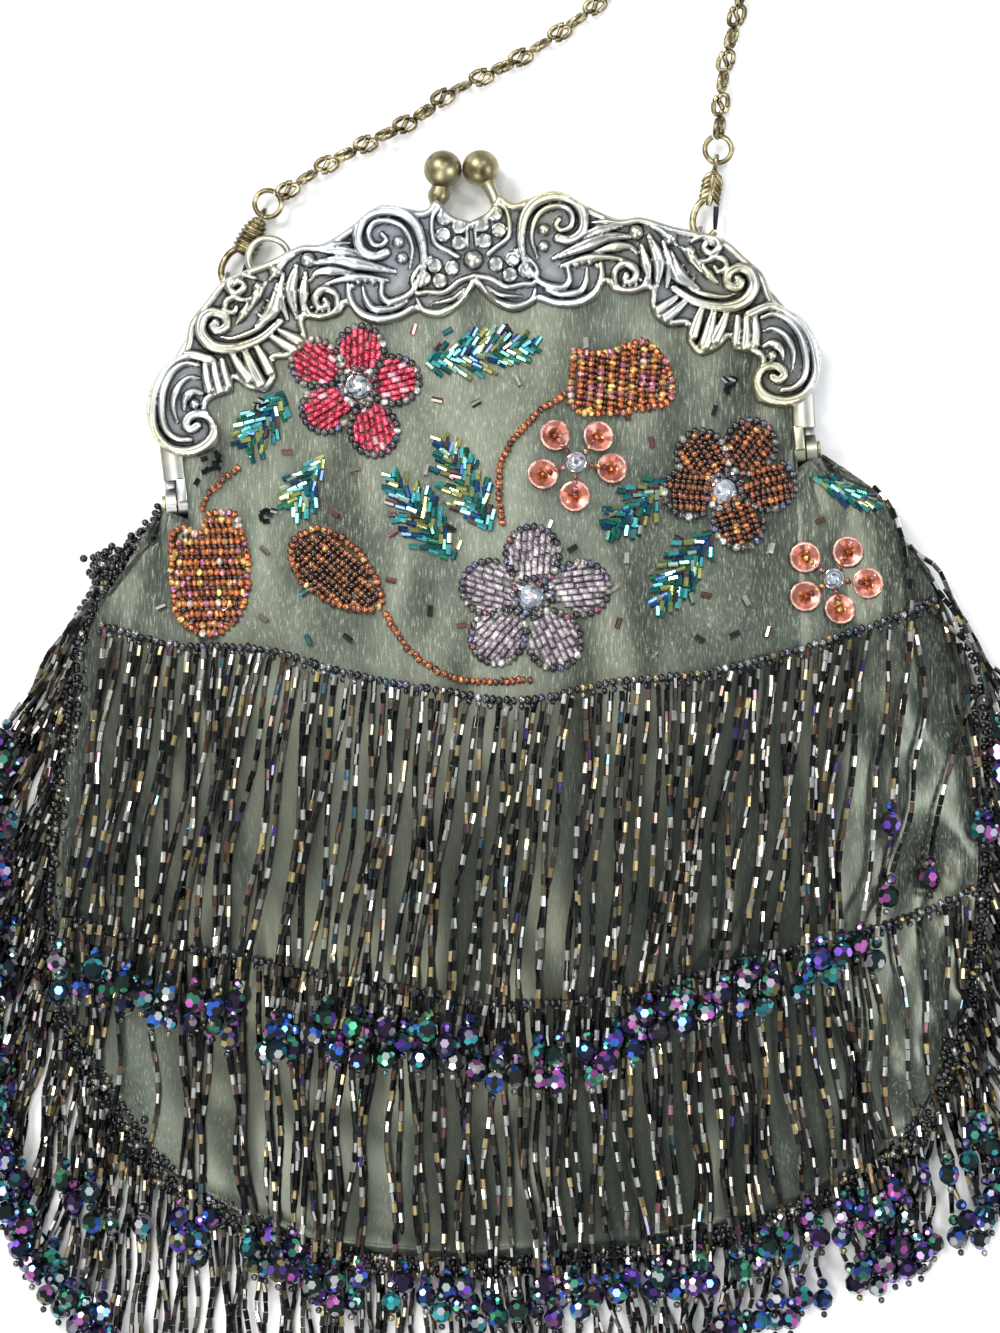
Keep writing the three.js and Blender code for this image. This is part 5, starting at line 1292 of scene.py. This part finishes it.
def filled_rows(copies, outline, heading, rng, palette):
    """Rows of seed beads standing on ones in painted shade that fill the grooves between them."""
    across = np.array([-math.sin(heading), math.cos(heading)]) * ROW_PITCH / 2
    for place in rows_inside(np.asarray(outline) + across, heading, ROW_PITCH, GROOVE_STEP):
        sew(copies, seed_bead, place - across * 2, heading, ROW_SEED, GROOVE_SEED_LONG,
            seed_tint(rng, palette, GROOVE_SHADE), lift=GROOVE_LIFT)
    for place in rows_inside(outline, heading, ROW_PITCH, ROW_STEP):
        sew(copies, seed_bead, place + rng.normal(0, ROW_STRAY, 2), heading, ROW_SEED, ROW_SEED_LONG,
            seed_tint(rng, palette), lift=ROW_LIFT)


round_tube = dict(bugle, smooth=True)
rng = np.random.default_rng(51)
for name, (middle, radius, palette, slot, long, petals) in FLOWERS.items():
    copies, edging = [], []
    for spot in petals:
        heading = math.atan2(spot[1] - middle[1], spot[0] - middle[0]) + rng.normal(0, 0.12)
        inner = petal_outline(middle, spot, radius - 0.6)
        if long:
            for place in rows_inside(inner, heading, TUBE_PITCH, long):
                lean = heading + 0.05 * np.dot(place - spot, (-math.sin(heading), math.cos(heading)))
                sew(copies, round_tube, place + rng.normal(0, TUBE_STRAY, 2), lean + rng.normal(0, 0.04),
                    TUBE, 0.94 * long, BUGLE_END_SHADE * pick(rng, palette), rng.uniform(0, 3),
                    rng.uniform(0.3, 0.45))
        else:
            filled_rows(copies, inner, heading, rng, palette)
        outer = petal_outline(middle, spot, radius - 0.1)
        others = [p for p in petals if p is not spot]
        seeds = round(2 * math.pi * radius / SEED_PITCH)
        for place in smooth_line(np.vstack([outer, outer[:1]]), seeds)[:-1]:
            clear = all(np.linalg.norm(place - q) > 1.4 for q in edging)
            if clear and all(np.linalg.norm(place - np.array(o)) > radius - 1.2 for o in others):
                edging.append(place)
    turns = np.linspace(0, 2 * math.pi, STONE_SEEDS, endpoint=False)
    edging += [(x, y) for x, y, _ in arc((*middle, 0), STONE_EDGING, turns)]
    for place in edging:
        sew(copies, seed_bead, place, rng.uniform(0, 3), SEED, 0.85 * SEED, seed_tint(rng, EDGING),
            lift=0.2)
    threaded(name + "_flower_beads", copies, [bead_glass], [name + "_flower"])
    copies = []
    set_stone(copies, middle, STONE, rng)
    threaded(name + "_crystal", copies, [stone_glass], [name + "_stone"])

# Sequin flowers
# Two flowers of five cupped coral sequins, pressed from thin film, about a small crystal. Each sequin is
# caught down by a line of amber seeds that runs from the crystal over its rim to its hole.
SEQUINS = dict(
    a=((13.6, 81.6), [(8.7, 87.6), (18.4, 87.3), (21.5, 80.2), (13.3, 74), (6.2, 78.8)]),
    b=((70.9, 55.8), [(64.6, 60.5), (74.2, 61.8), (78.4, 54.8), (72.2, 48.9), (64.6, 51.8)]),
)
SEQUIN_ROUND, SEQUIN_LIFT, SEQUIN_TILT, SMALL_STONE = 3.5, 0.7, 0.07, 2.2
CATCH_SEED, CATCH_LONG = 0.7, 0.6
# A sequin of radius 1: its depth and film, and how its rings shrink and drop from the rim to the hole.
CUP_DEEP, FILM, CUP_RINGS = 0.22, 0.07, ((0.86, 0.06), (0.6, 0.13), (0.25, 0.02))
# Amber and brown seeds; the gold, pink and pale shades among them are painted highlights.
AMBER_AND_HIGHLIGHTS = mixture((4, 150, 76, 36), (3, 188, 108, 50), (2, 214, 164, 92), (1.4, 186, 112, 112),
                (1, 112, 44, 36), (0.7, 158, 92, 128), (0.7, 232, 206, 190))
# Colours of a sequin's rim, paler with a painted highlight, its cup and its middle.
SEQUIN_RINGS = [paint(202, 148, 134), paint(174, 104, 88), paint(166, 86, 56)]
bm = bmesh.new()
ring = bmesh.ops.create_circle(bm, cap_ends=False, segments=14, radius=1)["verts"]
bmesh.ops.translate(bm, verts=ring, vec=(0, 0, CUP_DEEP))
edges = edges_of(ring)
for shrink, drop in CUP_RINGS:
    ring, edges = extruded(bm, edges)
    bmesh.ops.scale(bm, vec=(shrink, shrink, 1), verts=ring)
    bmesh.ops.translate(bm, verts=ring, vec=(0, 0, -drop))
bmesh.ops.recalc_face_normals(bm, faces=bm.faces)
bmesh.ops.solidify(bm, geom=bm.faces[:], thickness=FILM)
in_order(bm)
away = [f.calc_center_median().xy.length for f in bm.faces]
cup_tint = np.array([SEQUIN_RINGS[0 if r > 0.88 else 1 if r > 0.6 else 2] for r in away])
cup = shape_of(bm, True)
sequin_film = glass("coral sequin film", 0.3, 0.2, 0.42, 0.4)
for name, (middle, around) in SEQUINS.items():
    for i, spot in enumerate(around):
        height, up = seat(*spot)
        glints = rng.choice((0.6, 1.0, 1.7), (len(cup_tint), 1), p=(0.35, 0.45, 0.2))
        tilt = (up + Vector(rng.normal(0, SEQUIN_TILT, 3))).normalized()
        place = placed((*spot, height + SEQUIN_LIFT), tilt, SEQUIN_ROUND, SEQUIN_ROUND, rng.uniform(0, 3))
        threaded(f"cupped_sequin_{name}{i + 1}", [(cup, place, np.clip(cup_tint * glints, 0, 1))],
                 [sequin_film], [f"sequin_{name}{i + 1}"])
    copies = []
    set_stone(copies, middle, SMALL_STONE, rng)
    for spot in around:
        way = np.subtract(spot, middle)
        for share in np.linspace(0.42, 0.98, 4):
            sew(copies, seed_bead, np.add(middle, way * share), math.atan2(way[1], way[0]), CATCH_SEED,
                CATCH_LONG, seed_tint(rng, AMBER_AND_HIGHLIGHTS), lift=0.55 + 0.3 * share)
    threaded("crystal_" + name, copies, [stone_glass], ["stone_" + name])

# Tulips, bud and stems
# Two amber tulips and a dark bud: each is a patch of seed beads couched in straight rows inside a bead
# outline, on a stem of one line of seeds.
GOLD = mixture((3, 150, 88, 46), (1, 204, 152, 96), (3, 118, 64, 34))
DARK_GOLD = mixture((4, 90, 52, 27), (3, 126, 76, 39), (0.8, 172, 118, 68), (2, 52, 31, 20))
EDGE_SEED, EDGE_PITCH, EDGE_LIFT, INSIDE_EDGE = 0.95, 1.4, 0.3, 0.93
STEM_SEED, STEM_PITCH, STEM_LIFT = 0.9, 1.25, 0.2
# Each patch: the palettes of its rows and its edge, the heading of its rows, its slot and its outline.
OUTLINES = dict(
    left_tulip=(AMBER_AND_HIGHLIGHTS, AMBER_AND_HIGHLIGHTS, 0.02, "amber_glass", [(-76.2, 66.2), (-73.6, 67.1), (-70, 65.8),
                                                    (-68.2, 69.6), (-64.1, 70.8),
        (-61.6, 68.9), (-59.3, 58.2), (-60.7, 48.9), (-63.8, 45), (-67.7, 43.6), (-72.2, 45),
        (-75.3, 48.9), (-76.4, 56.7)]),
    right_tulip=(AMBER_AND_HIGHLIGHTS, AMBER_AND_HIGHLIGHTS, 1.5, "amber_glass", [(13.1, 106.4), (20.2, 106), (27.8, 108.6),
                                                    (30.7, 107.4), (34, 102.7),
        (35.1, 98.2), (33.1, 94.6), (22.4, 92.8), (17.6, 92.4), (13.4, 93.4), (12.4, 97.8)]),
    bud=(DARK_GOLD, GOLD, -0.72, "brown_glass", [(-48.9, 64.6), (-43.5, 67), (-35.5, 62.5), (-29.8, 53.5),
                                                 (-30.8, 49.2),
        (-38.8, 50), (-46.5, 54.5), (-49.6, 60)]),
)
STEMS = dict(
    left_stem=[(-61.5, 80.5), (-65.9, 76.7), (-68.6, 74.2), (-69.6, 71.2)],
    right_stem=[(11.2, 96.7), (5.1, 92.8), (-0.2, 86.9), (-2.9, 82), (-3.6, 76.1), (-2.9, 68.2)],
    bud_stem=[(-28.6, 48), (-27.2, 45.6), (-24.2, 41), (-20, 37.2), (-14.7, 34.3), (-7.8, 33),
              (3.3, 33.4)],
)
STEM = mixture((3, 134, 72, 40), (2, 176, 104, 58), (1, 96, 50, 30))
for name, (palette, edge, heading, slot, points) in OUTLINES.items():
    copies = []
    closed = smooth_line([*points, points[0]], 60)[:-1]
    centre = closed.mean(axis=0)
    filled_rows(copies, centre + (closed - centre) * INSIDE_EDGE, heading, rng, palette)
    bead_line(copies, np.vstack([closed, closed[:1]]), rng, edge, EDGE_SEED, EDGE_PITCH, EDGE_LIFT)
    threaded(name + "_beads", copies, [bead_glass], [name])
for name, points in STEMS.items():
    copies = []
    bead_line(copies, points, rng, STEM, STEM_SEED, STEM_PITCH, STEM_LIFT)
    threaded(name + "_beads", copies, [bead_glass], [name])

# Leaves
# Eight leaves of rainbow-coated bugles, stitched in a herringbone either side of each leaf's vein from its
# base to its tip: three bugles deep at its widest and one at its tip.
LEAVES = [((-20, 104), (5.1, 107.8)), ((-51.1, 97.3), (-60.4, 84.4)), ((-42.2, 83.3), (-50, 70.7)),
          ((-14, 59.6), (-27.8, 79.6)), ((-5.6, 66.1), (-16.7, 87.6)), ((34.3, 78), (19.8, 65.6)),
          ((44, 66.1), (30.4, 48.4)), ((66.4, 78.6), (79.3, 72.6))]
# Teal, green, blue, olive and mauve bugles; the palest shade among them is a painted highlight.
TEAL_AND_HIGHLIGHTS = mixture((4, 30, 112, 118), (3, 84, 186, 190), (3, 178, 182, 112), (2, 34, 78, 132),
               (2, 40, 122, 96), (0.8, 110, 84, 88), (1.6, 190, 226, 206))
LEAF_STEP, LEAF_BUGLE, LEAF_ROUND, OFF_VEIN, BETWEEN = 1.4, 2.35, 0.62, 1.4, 0.2
# How far the bugles of each leaf spread from its vein; the last leaf is seen bent over the bag's edge.
LEAF_SPREADS = [math.radians(38)] * 7 + [math.radians(15)]
for i, ((base, tip), spread) in enumerate(zip(LEAVES, LEAF_SPREADS)):
    copies = []
    way = np.subtract(tip, base)
    long = np.linalg.norm(way)
    heading = math.atan2(way[1], way[0])
    for k in range(int(long / LEAF_STEP)):
        for side in (-1, 1):
            lean = heading + side * spread + rng.normal(0, 0.16)
            ahead = np.array([math.cos(lean), math.sin(lean)])
            foot = np.add(base, way * (k + 0.25 * (side + 1)) * LEAF_STEP / long)
            up_leaf = k * LEAF_STEP
            fit = 3 if 0.1 * long < up_leaf < 0.55 * long else 2 if up_leaf < 0.8 * long else 1
            for n in range(fit):
                spot = foot + ahead * (OFF_VEIN + n * (LEAF_BUGLE + BETWEEN))
                # Each face of a leaf's bugle is lighter or darker at random: painted glints and painted
                # shade.
                sew(copies, bugle, spot, lean + rng.normal(0, 0.06), LEAF_ROUND,
                    LEAF_BUGLE * rng.uniform(0.85, 1),
                    BUGLE_END_SHADE * rng.uniform(0.5, 1.4, BUGLE_END_SHADE.shape) * pick(rng, TEAL_AND_HIGHLIGHTS),
                    rng.uniform(0, 3), rng.uniform(0.1, 0.4))
    threaded(f"leaf_{i + 1}_bugles", copies, [cut_glass], [f"leaf_{i + 1}"])

# Scattered bugles
# Single bronze and dark bugles are stitched here and there on the plain satin between the motifs, each with
# its own thread, and a few small dark tufts of them stand beside the leaves.
SCATTER_COUNT, SCATTER_APART, SCATTER_ROUND, SCATTER_LONG, SCATTER_LIFT = 50, 7.2, 0.62, 2.4, 0.1
SCATTER_X, SCATTER_Y = (-80, 88), (34, 112)
# They lie above the upper bead line, below the frame's bent lower edge, and on the belly of the satin.
ABOVE_LINE, FRAME_EDGE, FRAME_BEND, ON_BELLY = 4, 41, 0.011, 6
TUFT_BUGLES, TUFT_SPREAD, TUFT_ROUND, TUFT_LONG = 6, 1.1, 0.6, 1.6
# Bronze, grey, teal and mauve bugles; the pale cream shade among them is a painted glint.
BRONZE_AND_GLINTS = mixture((3, 104, 80, 62), (4, 52, 50, 48), (3, 150, 144, 124), (3, 208, 206, 196),
                 (1, 60, 120, 120), (1, 150, 100, 104))
TUFTS = [(-56.2, 94.4), (-68, 80.6), (-65.4, 82), (-55.2, 70), (47.5, 98.5)]
busy = [spot for *_, petals in FLOWERS.values() for spot in petals]
busy += [spot for _, around in SEQUINS.values() for spot in around]
busy += [tuple(np.mean(points, axis=0)) for _, _, _, _, points in OUTLINES.values()]
busy += [spot for base, tip in LEAVES for spot in (base, tip, tuple(np.add(base, tip) / 2))]
busy += [spot for points in STEMS.values() for spot in points]
upper_line = smooth_line(UPPER_ROOTS, 200)
copies, taken = [], busy
while len(copies) < SCATTER_COUNT:
    x, y = rng.uniform(*SCATTER_X), rng.uniform(*SCATTER_Y)
    fx, fy, _ = FRAME_PLACE.inverted() @ Vector((x, y, 0))
    inside = (y > np.interp(x, *upper_line.T) + ABOVE_LINE and fy < FRAME_EDGE - FRAME_BEND * fx * fx
              and seat(x, y)[0] > ON_BELLY)
    if inside and all(math.hypot(x - a, y - b) > SCATTER_APART for a, b in taken):
        taken.append((x, y))
        sew(copies, bugle, (x, y), rng.uniform(0, 3), SCATTER_ROUND, SCATTER_LONG,
            BUGLE_END_SHADE * pick(rng, BRONZE_AND_GLINTS), rng.uniform(0, 3), SCATTER_LIFT)
for tuft in TUFTS:
    for _ in range(TUFT_BUGLES):
        sew(copies, bugle, np.add(tuft, rng.normal(0, TUFT_SPREAD, 2)), rng.uniform(0, 3), TUFT_ROUND,
            TUFT_LONG, BUGLE_END_SHADE * JET_AND_GLINTS[0][1], lift=rng.uniform(0, 1))
threaded("scattered_bugles", copies, [cut_glass], [])
